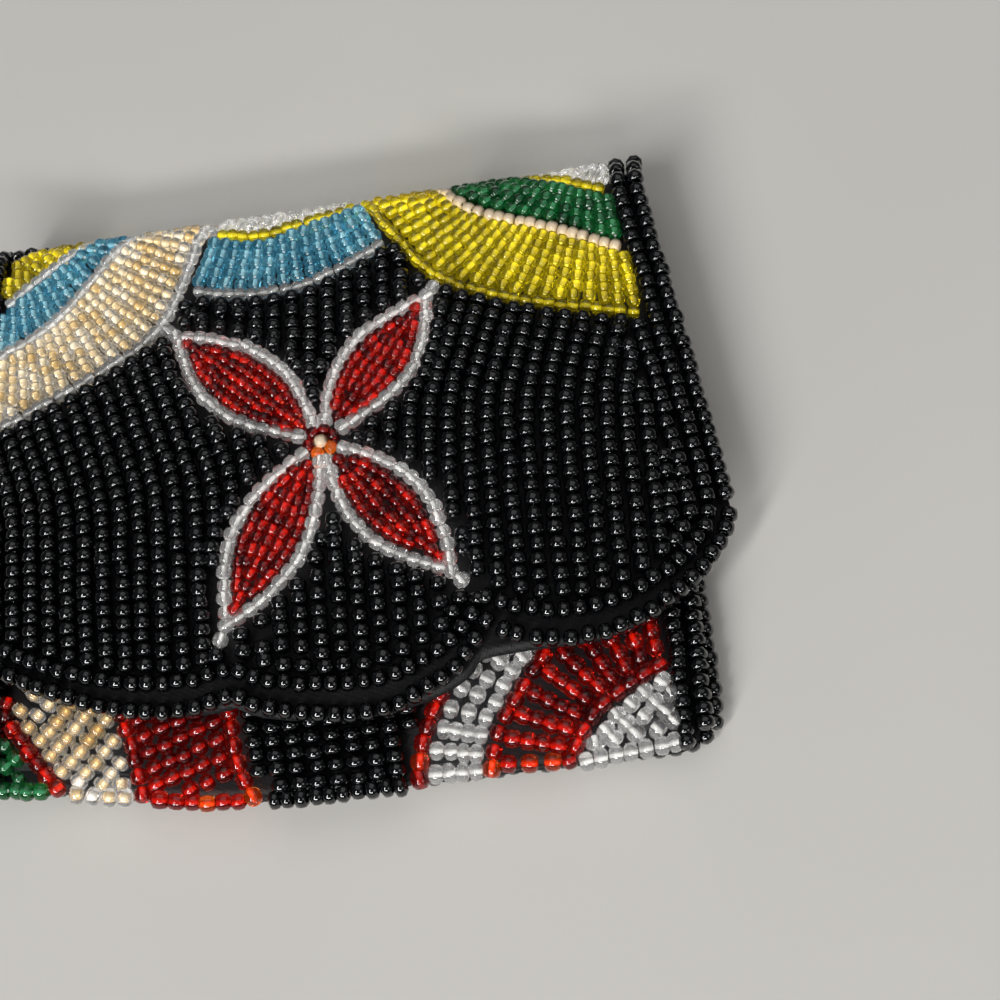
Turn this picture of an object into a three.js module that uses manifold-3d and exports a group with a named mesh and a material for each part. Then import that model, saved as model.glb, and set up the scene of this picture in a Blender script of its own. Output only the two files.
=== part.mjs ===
// Beaded coin purse, lying on its back with the flap shut.
// Millimetres. X runs across the purse, +Y from the bottom seam to the top fold, +Z up.
import * as THREE from 'three';
import Module from 'manifold-3d';

const wasm = await Module();
wasm.setup();

// Cloth, lining and beads
const CLOTH = 0.6; // thickness of the satin
const LINING = 0.4; // thickness of the lining
const GAP = 0.3; // clearance between neighbouring pieces
const BEAD = 2.0; // diameter of a bead, and height of a row of beads
const BEAD_PITCH = 1.9; // bead to bead along a strand
const ROW = 2.6; // row to row on the black ground
const RIB = 2.3; // row to row across a coloured band
const PETAL_ROW = 1.5; // row to row in a petal
const SEAT = 0.5; // underside of a row of beads above the cloth
const VALLEY = 0.7; // height of the web between two rows
const CREST = 0.36; // share of a row that is its flat crest

// Pouch
const POUCH_HALF = 44.5; // half the width of the front and back cloth
const CORNER = 4; // radius of the lower corners
const FOLD_Y = 74.5; // where the back cloth starts to turn up into the fold
const FOLD_REACH = 5.2; // how far the fold stands out past that line
const FOLD_HEIGHT = 8.7; // height of the fold, outside the cloth
const MOUTH_Y = 66; // upper edge of the front cloth
const MOUTH_SAG = 0.12; // share of the swell lost at the mouth
const PUFF = 6.6; // swell of the front cloth in the middle
const CREST_Y = 36; // where the swell is highest
const FRONT_TOP = 13.2; // upper edge of the beads on the front
const FRONT_FOOT = 0.6; // lower edge of the beads on the front
const FRONT_EDGE_TOP = 22; // upper end of the black columns along the front's sides
const DRAWN_UP = 6.4; // how far the seam draws the lower left up, at the end of the bend
const DRAWN_FROM = -3; // where that bend starts
const DRAWN_RUN = 52; // length of the bend, to the left

// Flap, drawn flat: u across, v measured from the start of the fold, down the flap below zero
const FLAP_HALF = 45.5; // half the width at the fold
const FLAP_LENGTH = 68.4; // from the start of the fold to the tip of the middle lobe
const FLAP_EASE = 0.2; // slack of the flap over the beads below it
const FLAP_DROOP = 0.62; // share of the swell lost at the flap's sides
const EDGE = 1.0; // middle of the edge strand, in from the edge of the cloth
const HEM = 4.3; // plain satin and edge strand at the tip of a lobe
const NOTCH_HEM = 1.2; // share of an inset that shows at a notch
const BAND_END = 4.6; // two black columns between a band and the flap's side

// Places on the flap: shares of its half width across and of its length down
const spot = (across, down) => ({ u: across * FLAP_HALF, v: -down * FLAP_LENGTH });
const FLAP_SIDE = spot(1.125, 0.6725); // end of the straight side
const LOBE_TIPS = [spot(0.681, 0.927), spot(0.11, 1), spot(-0.44, 0.974)];
const NOTCHES = [spot(0.44, 0.8845), spot(-0.2264, 0.946)];

// Flower on the flap
const FLOWER = spot(0.044, 0.4825);
const FLOWER_EYE = 1.9; // radius of the cluster in the middle
const PETAL_START = 4.3; // from the middle of the flower to the petal's inner point
const PETAL_HALF = 4.7; // half the width of a petal, to the middle of its outline
const PETAL_POINT = 1.6; // how much further a petal's points move than its sides
const PETALS = [
  { name: 'upper_left', tip: spot(-0.376, 0.1974), wide: 1.04 },
  { name: 'upper_right', tip: spot(0.3516, 0.1886), wide: 1 },
  { name: 'lower_right', tip: spot(0.3868, 0.7865), wide: 0.94 },
  { name: 'lower_left', tip: spot(-0.2462, 0.8333), wide: 1 },
];

// Press stud under the flap
const SNAP = { u: 5, v: 22, flange: 4.6, wall: 3.1, head: 1.7, eyelet: 0.4, plate: 0.4, height: 1.1 };

// How finely the pieces are divided so that they can bend
const FOLD_STEPS = 5;
const FLAP_SHARES = [1, 0.84, 0.66, 0.46, 0.28, 0.12, 0];
const GROUND_SHARES = [1, 0.76, 0.56, 0.28, 0];
const PANEL_X = [1, 0.945, 0.8, 0.55, 0.22];
const PANEL_Y = [0, 0.09, 0.2, 0.35, 0.545, 0.79, 1];

// Levels and lengths that follow
const backZ = BEAD + GAP;
const seamZ = backZ + 2 * CLOTH + GAP;
const foldZ = backZ + FOLD_HEIGHT;
const flapRise = 2 * GAP + BEAD + CLOTH + FLAP_EASE;
const foldRadius = Math.sqrt((FOLD_REACH ** 2 + (FOLD_HEIGHT / 2) ** 2) / 2);
const foldLength = Math.PI * foldRadius;
const backEnd = foldLength + FOLD_Y;
const foldStations = steps(FOLD_STEPS, 0, foldLength);
const bandTop = foldStations[3] - GAP / 2; // how far the bands run over the fold

const satin = { color: 0x161618, roughness: 0.55, metalness: 0 };
const bead = (color) => ({ color, roughness: 0.2, metalness: 0 });
const black = bead(0x08090b);
const red = bead(0xb4160f);
const clear = bead(0xc9c5c0);
const gold = bead(0xcdb996);
const yellow = bead(0xc2aa10);
const green = bead(0x126a38);
const blue = bead(0x3d86aa);
const cream = bead(0xe1cdaf);
const steel = { color: 0x9a9a9c, roughness: 0.3, metalness: 1 };

const purse = new THREE.Group();

// The two bent surfaces that everything is sewn to

function acrossSwell(x, droop) {
  return 1 - droop * (Math.abs(x) / POUCH_HALF) ** 3;
}

function frontSkin(x, y) {
  const rise = Math.sin((Math.PI / 2) * (Math.max(0, y) / CREST_Y));
  const fall = 1 - MOUTH_SAG * ((y - CREST_Y) / (MOUTH_Y - CREST_Y)) ** 2;
  const z = seamZ + PUFF * acrossSwell(x, 1) * (y < CREST_Y ? rise : fall);
  return new THREE.Vector3(x, y, z);
}

function flapHeight(x, y) {
  const base = seamZ + flapRise;
  const swell = PUFF * acrossSwell(x, FLAP_DROOP);
  if (y < CREST_Y) {
    return base + swell * Math.sin((Math.PI / 2) * (Math.max(0, y) / CREST_Y));
  }
  const share = (1 - Math.cos((Math.PI * (FOLD_Y - y)) / (FOLD_Y - CREST_Y))) / 2;
  return foldZ + (base + swell - foldZ) * share;
}

function flapSkin(u, v) {
  if (v <= 0) {
    return new THREE.Vector3(u, FOLD_Y + v, flapHeight(u, FOLD_Y + v));
  }
  if (v < foldLength) {
    const angle = v / foldRadius;
    const y = FOLD_Y + FOLD_REACH * Math.sin(angle);
    const z = (backZ + foldZ) / 2 + (FOLD_HEIGHT / 2) * Math.cos(angle);
    return new THREE.Vector3(u, y, z);
  }
  return new THREE.Vector3(u, FOLD_Y + foldLength - v, backZ);
}

// How far a place is drawn up where the lower left of the purse has lost its shape
function drawnUp(x, y) {
  const along = THREE.MathUtils.clamp((DRAWN_FROM - x) / DRAWN_RUN, 0, 1);
  const low = Math.max(0, 1 - y / MOUTH_Y);
  return DRAWN_UP * ((1 - Math.cos(Math.PI * along)) / 2) * low ** 2;
}

function above(skin, u, v, h) {
  const step = 0.01;
  const across = skin(u + step, v).sub(skin(u - step, v));
  const along = skin(u, v + step).sub(skin(u, v - step));
  return skin(u, v).addScaledVector(across.cross(along).normalize(), h);
}

// Solids are lists of points and of triangles until they become meshes

function volume({ points, faces }) {
  let sum = 0;
  for (const face of faces) {
    const [a, b, c] = face.map((i) => new THREE.Vector3(...points[i]));
    sum += a.dot(b.cross(c));
  }
  return sum;
}

function facingOut(solid) {
  return volume(solid) > 0 ? solid : { ...solid, faces: solid.faces.map(([a, b, c]) => [a, c, b]) };
}

// A body through sections with the same number of points; the ends are given as triangles
function loft(sections, ends) {
  const count = sections[0].length;
  const last = (sections.length - 1) * count;
  const faces = [];
  for (let s = 0; s < sections.length - 1; s++) {
    for (let k = 0; k < count; k++) {
      const a = s * count + k;
      const b = s * count + ((k + 1) % count);
      faces.push([a, b, b + count], [a, b + count, a + count]);
    }
  }
  for (const [a, b, c] of ends) {
    faces.push([a, c, b], [a + last, b + last, c + last]);
  }
  return facingOut({ points: sections.flat(), faces });
}

// Triangles that fill an outline, all turning the way the outline does
function filled(outline) {
  const { area, triangulateShape } = THREE.ShapeUtils;
  const turn = Math.sign(area(outline));
  return triangulateShape(outline, []).map(([a, b, c]) => {
    const same = Math.sign(area([outline[a], outline[b], outline[c]])) === turn;
    return same ? [a, b, c] : [a, c, b];
  });
}

function plate(outline, low, high) {
  return loft([low, high].map((h) => outline.map((p) => [p.x, p.y, h])), filled(outline));
}

// A sheet between an upper and a lower skin, given point by point in rows
function sheet(rows, low, high) {
  const count = rows[0].length;
  const points = [high, low].flatMap((h) => rows.flat().map(([u, v]) => [u, v, h]));
  const under = rows.length * count;
  const faces = [];
  const wall = (a, b) => faces.push([a, a + under, b + under], [a, b + under, b]);
  for (let j = 0; j < rows.length - 1; j++) {
    for (let i = 0; i < count - 1; i++) {
      const a = j * count + i;
      const [b, c, d] = [a + 1, a + 1 + count, a + count];
      faces.push([a, b, c], [a, c, d]);
      faces.push([a + under, c + under, b + under], [a + under, d + under, c + under]);
    }
    wall((j + 1) * count, j * count);
    wall((j + 1) * count - 1, (j + 2) * count - 1);
  }
  for (let i = 0; i < count - 1; i++) {
    wall(i, i + 1);
    wall(rows.length * count - 1 - i, rows.length * count - 2 - i);
  }
  return facingOut({ points, faces });
}

// Even shares from 0 to 1, thinned out where the cloth is nearly flat
function sparse(count, every, vAt) {
  return steps(count).filter((share, i) => i % every === 0 || i === count || vAt(share) > -ROW);
}

// Rows of beads side by side: r runs across the rows, s along them
function ridged(rowCount, stations, at, crest = 0, under = null) {
  const rows = Math.max(1, Math.round(rowCount));
  const low = under || sparse(rows, 3, () => -Infinity);
  const line = low.map((r) => [r, SEAT]).reverse();
  const valley = [];
  for (let i = 0; i < rows; i++) {
    valley.push(line.length);
    line.push([i / rows, GAP + VALLEY], [(i + 0.5 - crest / 2) / rows, GAP + BEAD]);
    if (crest > 0) {
      line.push([(i + 0.5 + crest / 2) / rows, GAP + BEAD]);
    }
  }
  valley.push(line.length);
  line.push([1, GAP + VALLEY]);
  return loft(stations.map((s) => line.map(([r, h]) => [...at(r, s), h])), rowEnds(low, valley));
}

// The ends of the rows: the web up to the valleys, then each crest
function rowEnds(low, valley) {
  const rows = valley.length - 1;
  const ends = [];
  for (let k = 0; k < low.length - 1; k++) {
    const foot = low.length - 1 - k;
    const last = Math.round(low[k + 1] * rows);
    for (let i = Math.round(low[k] * rows); i < last; i++) {
      ends.push([foot, valley[i], valley[i + 1]]);
    }
    ends.push([foot, valley[last], foot - 1]);
  }
  for (let i = 0; i < rows; i++) {
    for (let top = valley[i] + 1; top < valley[i + 1]; top++) {
      ends.push([valley[i], top, top + 1]);
    }
  }
  return ends;
}

function steps(count, from = 0, to = 1) {
  return Array.from({ length: count + 1 }, (_, i) => from + ((to - from) * i) / count);
}

// One strand of beads laid along a curve on the flat cloth
function strandRidge(curve, stations) {
  const at = (r, s) => {
    const p = curve.getPointAt(s);
    const t = curve.getTangentAt(s);
    return [p.x - (r - 0.5) * BEAD * t.y, p.y + (r - 0.5) * BEAD * t.x];
  };
  return ridged(1, stations, at, CREST);
}

// Rows that cross the band between two curves, stopping at a margin measured square to each curve
function between(lower, upper, lowMargin, highMargin) {
  return (r, s) => {
    const a = lower.getPointAt(r);
    const b = upper.getPointAt(r);
    const way = b.clone().sub(a);
    const low = lowMargin / Math.abs(way.cross(lower.getTangentAt(r)));
    const high = highMargin / Math.abs(way.cross(upper.getTangentAt(r)));
    const p = a.lerp(b, THREE.MathUtils.lerp(low, 1 - high, s));
    return [p.x, p.y];
  };
}

const beside = BEAD / 2 + GAP; // from the middle of a strand to its neighbour
const clearOf = beside + GAP / 2; // the same for rows that end at a bent strand

function manifoldOf({ points, faces }) {
  const vertProperties = new Float32Array(points.flat());
  const triVerts = new Uint32Array(faces.flat());
  return new wasm.Manifold(new wasm.Mesh({ numProp: 3, vertProperties, triVerts }));
}

function solidOf(manifold) {
  const { numProp, vertProperties, triVerts } = manifold.getMesh();
  const points = [];
  for (let i = 0; i < vertProperties.length; i += numProp) {
    points.push([vertProperties[i], vertProperties[i + 1], vertProperties[i + 2]]);
  }
  const faces = [];
  for (let i = 0; i < triVerts.length; i += 3) {
    faces.push([triVerts[i], triVerts[i + 1], triVerts[i + 2]]);
  }
  return { points, faces };
}

// Divides the triangles of a solid along lines of constant v
function sliced(solid, lines) {
  const points = [...solid.points];
  let faces = solid.faces;
  for (const line of lines) {
    const made = new Map();
    const past = (i) => points[i][1] - line;
    const side = (i) => (Math.abs(past(i)) < 0.02 ? 0 : Math.sign(past(i)));
    const crossing = (a, b) => {
      const [low, high] = a < b ? [a, b] : [b, a];
      const key = `${low} ${high}`;
      if (!made.has(key)) {
        const share = past(low) / (past(low) - past(high));
        made.set(key, points.length);
        points.push(points[low].map((value, k) => THREE.MathUtils.lerp(value, points[high][k], share)));
      }
      return made.get(key);
    };
    const next = [];
    for (const face of faces) {
      const halves = { above: [], below: [] };
      face.forEach((a, k) => {
        const b = face[(k + 1) % 3];
        if (side(a) >= 0) halves.above.push(a);
        if (side(a) <= 0) halves.below.push(a);
        if (side(a) * side(b) < 0) {
          const middle = crossing(a, b);
          halves.above.push(middle);
          halves.below.push(middle);
        }
      });
      const whole = face.every((i) => side(i) >= 0) || face.every((i) => side(i) <= 0);
      for (const part of whole ? [face] : [halves.above, halves.below]) {
        for (let k = 1; k < part.length - 1; k++) {
          next.push([part[0], part[k], part[k + 1]]);
        }
      }
    }
    faces = next;
  }
  return { points, faces };
}

function addMesh(name, solid, look) {
  const points = solid.points.flatMap(([x, y, z]) => [x, y + drawnUp(x, y), z]);
  const geometry = new THREE.BufferGeometry();
  geometry.setAttribute('position', new THREE.Float32BufferAttribute(points, 3));
  geometry.setIndex(solid.faces.flat());
  geometry.computeVertexNormals();
  const mesh = new THREE.Mesh(geometry, new THREE.MeshStandardMaterial(look));
  mesh.name = name;
  purse.add(mesh);
}

function bent(solid, skin) {
  return { ...solid, points: solid.points.map(([u, v, h]) => above(skin, u, v, h).toArray()) };
}

function addOnFlap(name, flat, look) {
  addMesh(name, bent(flat, flapSkin), look);
}

function addOnFront(name, flat, look) {
  addMesh(name, bent(flat, frontSkin), look);
}

// Outlines of the flap

function sideHalf(v) {
  return FLAP_HALF + (FLAP_SIDE.u - FLAP_HALF) * Math.min(1, Math.max(0, v / FLAP_SIDE.v));
}

function quarter(path, corner, to) {
  const round = 0.55;
  const from = path.currentPoint.clone();
  path.bezierCurveTo(
    THREE.MathUtils.lerp(from.x, corner.x, round), THREE.MathUtils.lerp(from.y, corner.y, round),
    THREE.MathUtils.lerp(to.x, corner.x, round), THREE.MathUtils.lerp(to.y, corner.y, round),
    to.x, to.y,
  );
}

// One lobe from right to left, drawn a little inside the edge of the cloth
function lobePath(i, sideInset, tipInset) {
  const notchInset = NOTCH_HEM * sideInset;
  const rightSide = new THREE.Vector2(FLAP_SIDE.u - sideInset, FLAP_SIDE.v);
  const leftSide = new THREE.Vector2(sideInset - FLAP_SIDE.u, FLAP_SIDE.v);
  const notches = NOTCHES.map((p) => new THREE.Vector2(p.u, p.v + notchInset));
  const ends = [rightSide, ...notches, leftSide];
  const tip = new THREE.Vector2(LOBE_TIPS[i].u, LOBE_TIPS[i].v + tipInset);
  const path = new THREE.Path().moveTo(ends[i].x, ends[i].y);
  quarter(path, new THREE.Vector2(ends[i].x, tip.y), tip);
  quarter(path, new THREE.Vector2(ends[i + 1].x, tip.y), ends[i + 1]);
  return path;
}

function flapOutline(top, sideInset, tipInset, divisions) {
  const half = FLAP_HALF - sideInset;
  const outline = [new THREE.Vector2(half, top), new THREE.Vector2(half, 0)];
  LOBE_TIPS.forEach((_, i) => {
    const points = lobePath(i, sideInset, tipInset).getPoints(divisions);
    outline.push(...(i ? points.slice(1) : points));
  });
  outline.push(new THREE.Vector2(-half, 0), new THREE.Vector2(-half, top));
  return outline.reverse();
}

// Cloth

// How much a panel's end is cut back where its corner is round
function cornerCut(u) {
  const past = Math.max(0, Math.abs(u) - POUCH_HALF + CORNER);
  return CORNER - Math.sqrt(Math.max(0, CORNER ** 2 - past ** 2));
}

// The flap from its edge up to the fold, and round the fold as far as it is wanted
function foldedRows(inset, divisions, tail) {
  const edge = flapOutline(0, inset, inset, divisions).slice(2, -2);
  const half = FLAP_HALF - inset;
  const atFold = edge.map((p) => (p.x * half) / (FLAP_SIDE.u - inset));
  const { lerp } = THREE.MathUtils;
  const flap = FLAP_SHARES.map((s) => edge.map((p, k) => [lerp(atFold[k], p.x, s), p.y * s]));
  const narrow = (POUCH_HALF - inset) / half;
  const fold = foldStations.slice(1).map((v) => atFold.map((u) => [u * lerp(1, narrow, v / foldLength), v]));
  const back = atFold.map((u) => [u * narrow, tail - cornerCut(u * narrow)]);
  return [...flap, ...fold, back];
}

function backAndFlapCloth() {
  addOnFlap('back_and_flap_cloth', sheet(foldedRows(0, 2, backEnd), -CLOTH, 0), satin);
}

// Rows of a front panel, from the bottom seam up to the mouth or past it
function panelRows(past = 0) {
  const across = [...PANEL_X, ...PANEL_X.map((r) => -r).reverse()].map((r) => r * POUCH_HALF).reverse();
  const heights = PANEL_Y.map((share) => share * MOUTH_Y + (share === 1 ? past : 0));
  return heights.map((y) => across.map((x) => [x, y ? y : cornerCut(x)]));
}

function frontCloth() {
  addOnFront('front_cloth', sheet(panelRows(), -CLOTH, 0), satin);
}

// Everything between a floor and the front cloth, lowered by a drop
function underFront(floor, drop, past) {
  const block = sheet(panelRows(past), -foldZ, 0);
  const ceiling = (x, y) => frontSkin(x, Math.min(y, MOUTH_Y)).z - drop;
  const points = block.points.map(([x, y, h]) => [x, y, h < 0 ? h : ceiling(x, y)]);
  const wide = 2 * POUCH_HALF;
  const room = sheet([-wide, wide].map((y) => [-wide, wide].map((x) => [x, y])), floor, 4 * foldZ);
  return manifoldOf({ ...block, points }).intersect(manifoldOf(room));
}

function lining() {
  const floor = backZ + CLOTH + GAP;
  const bag = underFront(floor, CLOTH + GAP, 0);
  const room = underFront(floor + LINING, CLOTH + GAP + LINING, CORNER);
  addMesh('lining', solidOf(bag.subtract(room)), satin);
}

// Press stud, turned about the line that stands on the front cloth

function turned(profile, sides) {
  const sections = steps(sides).map((share) => {
    const angle = 2 * Math.PI * share;
    return profile.map((p) => [SNAP.u + p.x * Math.cos(angle), SNAP.v + p.x * Math.sin(angle), p.y]);
  });
  const count = profile.length;
  const faces = [];
  for (let s = 0; s < sides; s++) {
    for (let k = 0; k < count; k++) {
      const a = s * count + k;
      const b = s * count + ((k + 1) % count);
      const c = ((s + 1) % sides) * count + ((k + 1) % count);
      const d = ((s + 1) % sides) * count + k;
      faces.push([a, b, c], [a, c, d]);
    }
  }
  return facingOut({ points: sections.slice(0, -1).flat(), faces });
}

function pressStud() {
  const ring = (pairs) => pairs.map(([r, h]) => new THREE.Vector2(r, h));
  const { flange, wall, head, eyelet } = SNAP;
  const low = GAP;
  const plateTop = low + SNAP.plate;
  const wallTop = low + SNAP.height;
  const high = flapRise - CLOTH - 2 * GAP;
  const hole = head + GAP;
  const under = wallTop + GAP;
  const socket = [[hole, low], [flange, low], [flange, plateTop], [wall, plateTop], [wall, wallTop],
    [hole, wallTop]];
  const stud = [[eyelet, plateTop], [head, plateTop], [head, under], [flange, under], [flange, high],
    [eyelet, high]];
  addMesh('snap_socket', bent(turned(ring(socket), 10), frontSkin), steel);
  addMesh('snap_stud', bent(turned(ring(stud), 10), frontSkin), steel);
}

// Curves of the bands on the flap, in the same shares; a place over the fold has its share below zero

const curve = (points) => new THREE.SplineCurve(points.map(([u, v]) => new THREE.Vector2(u, v)));
const flapCurve = (...places) => curve(places.map(([across, down]) => {
  const { u, v } = spot(across, down);
  return [u, v];
}));
const bandSide = (v) => sideHalf(v) - BAND_END;
const rear = -bandTop / FLAP_LENGTH;
const atSide = (sign, down) => [(sign * bandSide(-down * FLAP_LENGTH)) / FLAP_HALF, down];

const goldLower = flapCurve([-0.275, rear], [-0.336, 0.015], [-0.435, 0.174], [-0.646, 0.269],
  atSide(-1, 0.357));
const goldUpper = flapCurve([-0.462, rear], [-0.563, -0.037], [-0.67, 0.058], [-0.769, 0.126],
  atSide(-1, 0.184));
const blueOuter = flapCurve([-0.615, rear], [-0.699, -0.044], [-0.809, 0.012], atSide(-1, 0.067));
const cornerLeft = flapCurve([-0.758, rear], [-0.831, -0.076], atSide(-1, -0.038));
const arcTop = flapCurve([-0.255, -0.032], [-0.132, -0.016], [0, -0.031], [0.11, -0.048]);
const arcLower = flapCurve([-0.314, 0.096], [-0.176, 0.118], [-0.033, 0.118], [0.088, 0.094],
  [0.207, 0.053]);
const arcRear = flapCurve([-0.22, rear], [0.07, rear]);
const yellowLower = flapCurve([0.132, rear], [0.202, -0.044], [0.284, 0.044], [0.391, 0.143],
  [0.615, 0.222], atSide(1, 0.281));
const creamLine = flapCurve([0.369, rear], [0.426, -0.053], [0.51, 0], [0.725, 0.067], atSide(1, 0.136));
const greenTop = flapCurve([0.571, rear], [0.659, -0.073], [0.778, -0.035], atSide(1, 0));
const cornerRight = flapCurve([0.703, rear], [0.835, 0.83 * rear], atSide(1, -0.079));

function ribbed(name, lower, upper, lowMargin, highMargin, look) {
  const rows = Math.round((lower.getLength() + upper.getLength()) / 2 / RIB);
  const at = between(lower, upper, lowMargin, highMargin);
  const under = sparse(rows, 2, (r) => Math.max(at(r, 0)[1], at(r, 1)[1]));
  addOnFlap(name, ridged(rows, steps(2), at, 0, under), look);
}

function rim(name, line, look) {
  const length = line.getLength();
  const within = (s) => THREE.MathUtils.lerp(BEAD / 2, length - BEAD / 2, s) / length;
  const stations = sparse(Math.round(length / RIB), 3, (s) => line.getPointAt(s).y);
  addOnFlap(name, strandRidge(line, stations.map(within)), look);
}

function bands() {
  ribbed('gold_band', goldLower, goldUpper, clearOf, clearOf, gold);
  ribbed('left_blue_band', goldUpper, blueOuter, clearOf, clearOf, blue);
  ribbed('left_yellow_band', blueOuter, cornerLeft, clearOf, 0, yellow);
  ribbed('blue_arc', arcLower, arcTop, clearOf, clearOf, blue);
  ribbed('clear_rows_behind_arc', arcTop, arcRear, clearOf, 0, clear);
  ribbed('yellow_band', yellowLower, creamLine, clearOf, clearOf, yellow);
  ribbed('green_band', creamLine, greenTop, clearOf, clearOf, green);
  ribbed('clear_corner', greenTop, cornerRight, clearOf, 0, clear);
  rim('gold_band_lower_rim', goldLower, clear);
  rim('gold_band_upper_rim', goldUpper, clear);
  rim('left_blue_band_rim', blueOuter, clear);
  rim('blue_arc_yellow_rim', arcTop, yellow);
  rim('blue_arc_clear_rim', arcLower, clear);
  rim('yellow_band_rim', yellowLower, yellow);
  rim('cream_line', creamLine, cream);
  rim('green_band_yellow_rim', greenTop, yellow);
}

// The whole field of bands, as one outline with room around it
function bandField() {
  const below = (c, count) => steps(count).map((s) => {
    const t = c.getTangentAt(s);
    const side = t.x < 0 ? -1 : 1;
    return c.getPointAt(s).add(new THREE.Vector2(t.y, -t.x).multiplyScalar(side * beside));
  });
  const left = new THREE.Vector2(-bandSide(0) - GAP, bandTop + ROW);
  const right = new THREE.Vector2(bandSide(0) + GAP, bandTop + ROW);
  const leftSide = below(goldLower, 14).at(-1);
  const rightSide = below(yellowLower, 14).at(-1);
  leftSide.x = -bandSide(leftSide.y) - GAP;
  rightSide.x = bandSide(rightSide.y) + GAP;
  const fold = (side) => new THREE.Vector2(side * (bandSide(0) + GAP), 0);
  const lower = [leftSide, ...below(goldLower, 14).slice(5, -1).reverse(), ...below(arcLower, 8),
    ...below(yellowLower, 14).slice(4, -1), rightSide];
  return [left, fold(-1), ...lower, fold(1), right];
}

// Flower

function petalAxis(petal) {
  const middle = new THREE.Vector2(FLOWER.u, FLOWER.v);
  const tip = new THREE.Vector2(petal.tip.u, petal.tip.v);
  const way = tip.clone().sub(middle).normalize();
  return { way, base: middle.addScaledVector(way, PETAL_START), tip };
}

// The pointed outline of a petal, larger or smaller by a margin
function petalOutline(petal, margin) {
  const { way, base, tip } = petalAxis(petal);
  const from = base.clone().addScaledVector(way, -PETAL_POINT * margin);
  const to = tip.clone().addScaledVector(way, PETAL_POINT * margin);
  const side = new THREE.Vector2(-way.y, way.x);
  const edge = (s, sign) => from.clone().lerp(to, s)
    .addScaledVector(side, sign * (petal.wide * PETAL_HALF + margin) * Math.sin(Math.PI * s));
  return [...steps(5).map((s) => edge(s, -1)), ...steps(5).slice(1, -1).reverse().map((s) => edge(s, 1))];
}

function petalRing(petal) {
  const half = BEAD / 2;
  const layer = (margin, h) => petalOutline(petal, margin).map((p) => [p.x, p.y, h]);
  const ends = filled(petalOutline(petal, half));
  const shoulder = GAP + 0.6 * BEAD;
  const top = GAP + BEAD;
  const outer = loft([layer(half, GAP), layer(half, shoulder), layer(0.5 * half, top)], ends);
  const inner = loft([layer(-half, 0), layer(-half, shoulder), layer(-0.5 * half, top),
    layer(0, top + half)], ends);
  return solidOf(manifoldOf(outer).subtract(manifoldOf(inner)));
}

function petalRows(petal) {
  const margin = -beside;
  const { way, base, tip } = petalAxis(petal);
  const from = base.addScaledVector(way, -PETAL_POINT * margin);
  const to = tip.addScaledVector(way, PETAL_POINT * margin);
  const side = new THREE.Vector2(-way.y, way.x);
  const at = (r, s) => {
    const half = (petal.wide * PETAL_HALF + margin) * Math.sin(Math.PI * s);
    const p = from.clone().lerp(to, s).addScaledVector(side, (2 * r - 1) * half);
    return [p.x, p.y];
  };
  const rows = (2 * (petal.wide * PETAL_HALF + margin)) / PETAL_ROW;
  return ridged(rows, steps(5, 0.08, 0.92), at, 0, [0, 1]);
}

function circle(u, v, radius, sides) {
  return steps(sides).slice(0, -1).map((s) => {
    const angle = 2 * Math.PI * s;
    return new THREE.Vector2(u + radius * Math.cos(angle), v + radius * Math.sin(angle));
  });
}

function flower() {
  for (const petal of PETALS) {
    addOnFlap(`petal_${petal.name}`, petalRows(petal), red);
    addOnFlap(`petal_${petal.name}_outline`, petalRing(petal), clear);
  }
  const layer = (radius, h) => circle(FLOWER.u, FLOWER.v, radius, 10).map((p) => [p.x, p.y, h]);
  const ends = filled(circle(FLOWER.u, FLOWER.v, FLOWER_EYE, 10));
  const eye = loft([layer(FLOWER_EYE, GAP), layer(FLOWER_EYE, GAP + 0.6 * BEAD),
    layer(0.5 * FLOWER_EYE, GAP + BEAD)], ends);
  addOnFlap('flower_middle', eye, red);
}

// Black ground

// A row keeps its distance from its neighbours, and the outer ones follow the flap's side
function rowAt(c, v) {
  const spread = sideHalf(v) - FLAP_HALF;
  return c + spread * Math.sign(c) * (Math.abs(c) / FLAP_HALF) ** 3;
}

function blackSheet() {
  const half = FLAP_HALF - EDGE - beside;
  const at = (r, v) => [rowAt((2 * r - 1) * half, v), v];
  const flap = GROUND_SHARES.map((share) => share * LOBE_TIPS[1].v);
  const stations = [...flap, ...foldStations.filter((v) => v > 0 && v < bandTop), bandTop];
  return ridged((2 * half) / ROW, stations, at);
}

function cutter(outline) {
  return manifoldOf(bent(sliced(plate(outline, -BEAD, 3 * BEAD), foldStations.slice(1)), flapSkin));
}

function blackGround() {
  const sideInset = EDGE + beside;
  let ground = manifoldOf(bent(blackSheet(), flapSkin));
  ground = ground.intersect(cutter(flapOutline(1.2 * bandTop, sideInset, HEM, 4)));
  ground = ground.subtract(cutter(bandField()));
  ground = ground.subtract(cutter(circle(FLOWER.u, FLOWER.v, FLOWER_EYE + GAP, 8)));
  for (const petal of PETALS) {
    ground = ground.subtract(cutter(petalOutline(petal, beside)));
  }
  const [left, right] = PETALS.slice(0, 2).map((petal) => {
    const { way, tip } = petalAxis(petal);
    return tip.addScaledVector(way, 2 * beside);
  });
  const corner = (p) => new THREE.Vector2(p.x, GAP);
  const sector = cutter([new THREE.Vector2(FLOWER.u, FLOWER.v), right, corner(right), corner(left), left]);
  addMesh('black_ground_upper', solidOf(ground.intersect(sector)), black);
  addMesh('black_ground', solidOf(ground.subtract(sector)), black);
}

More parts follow.
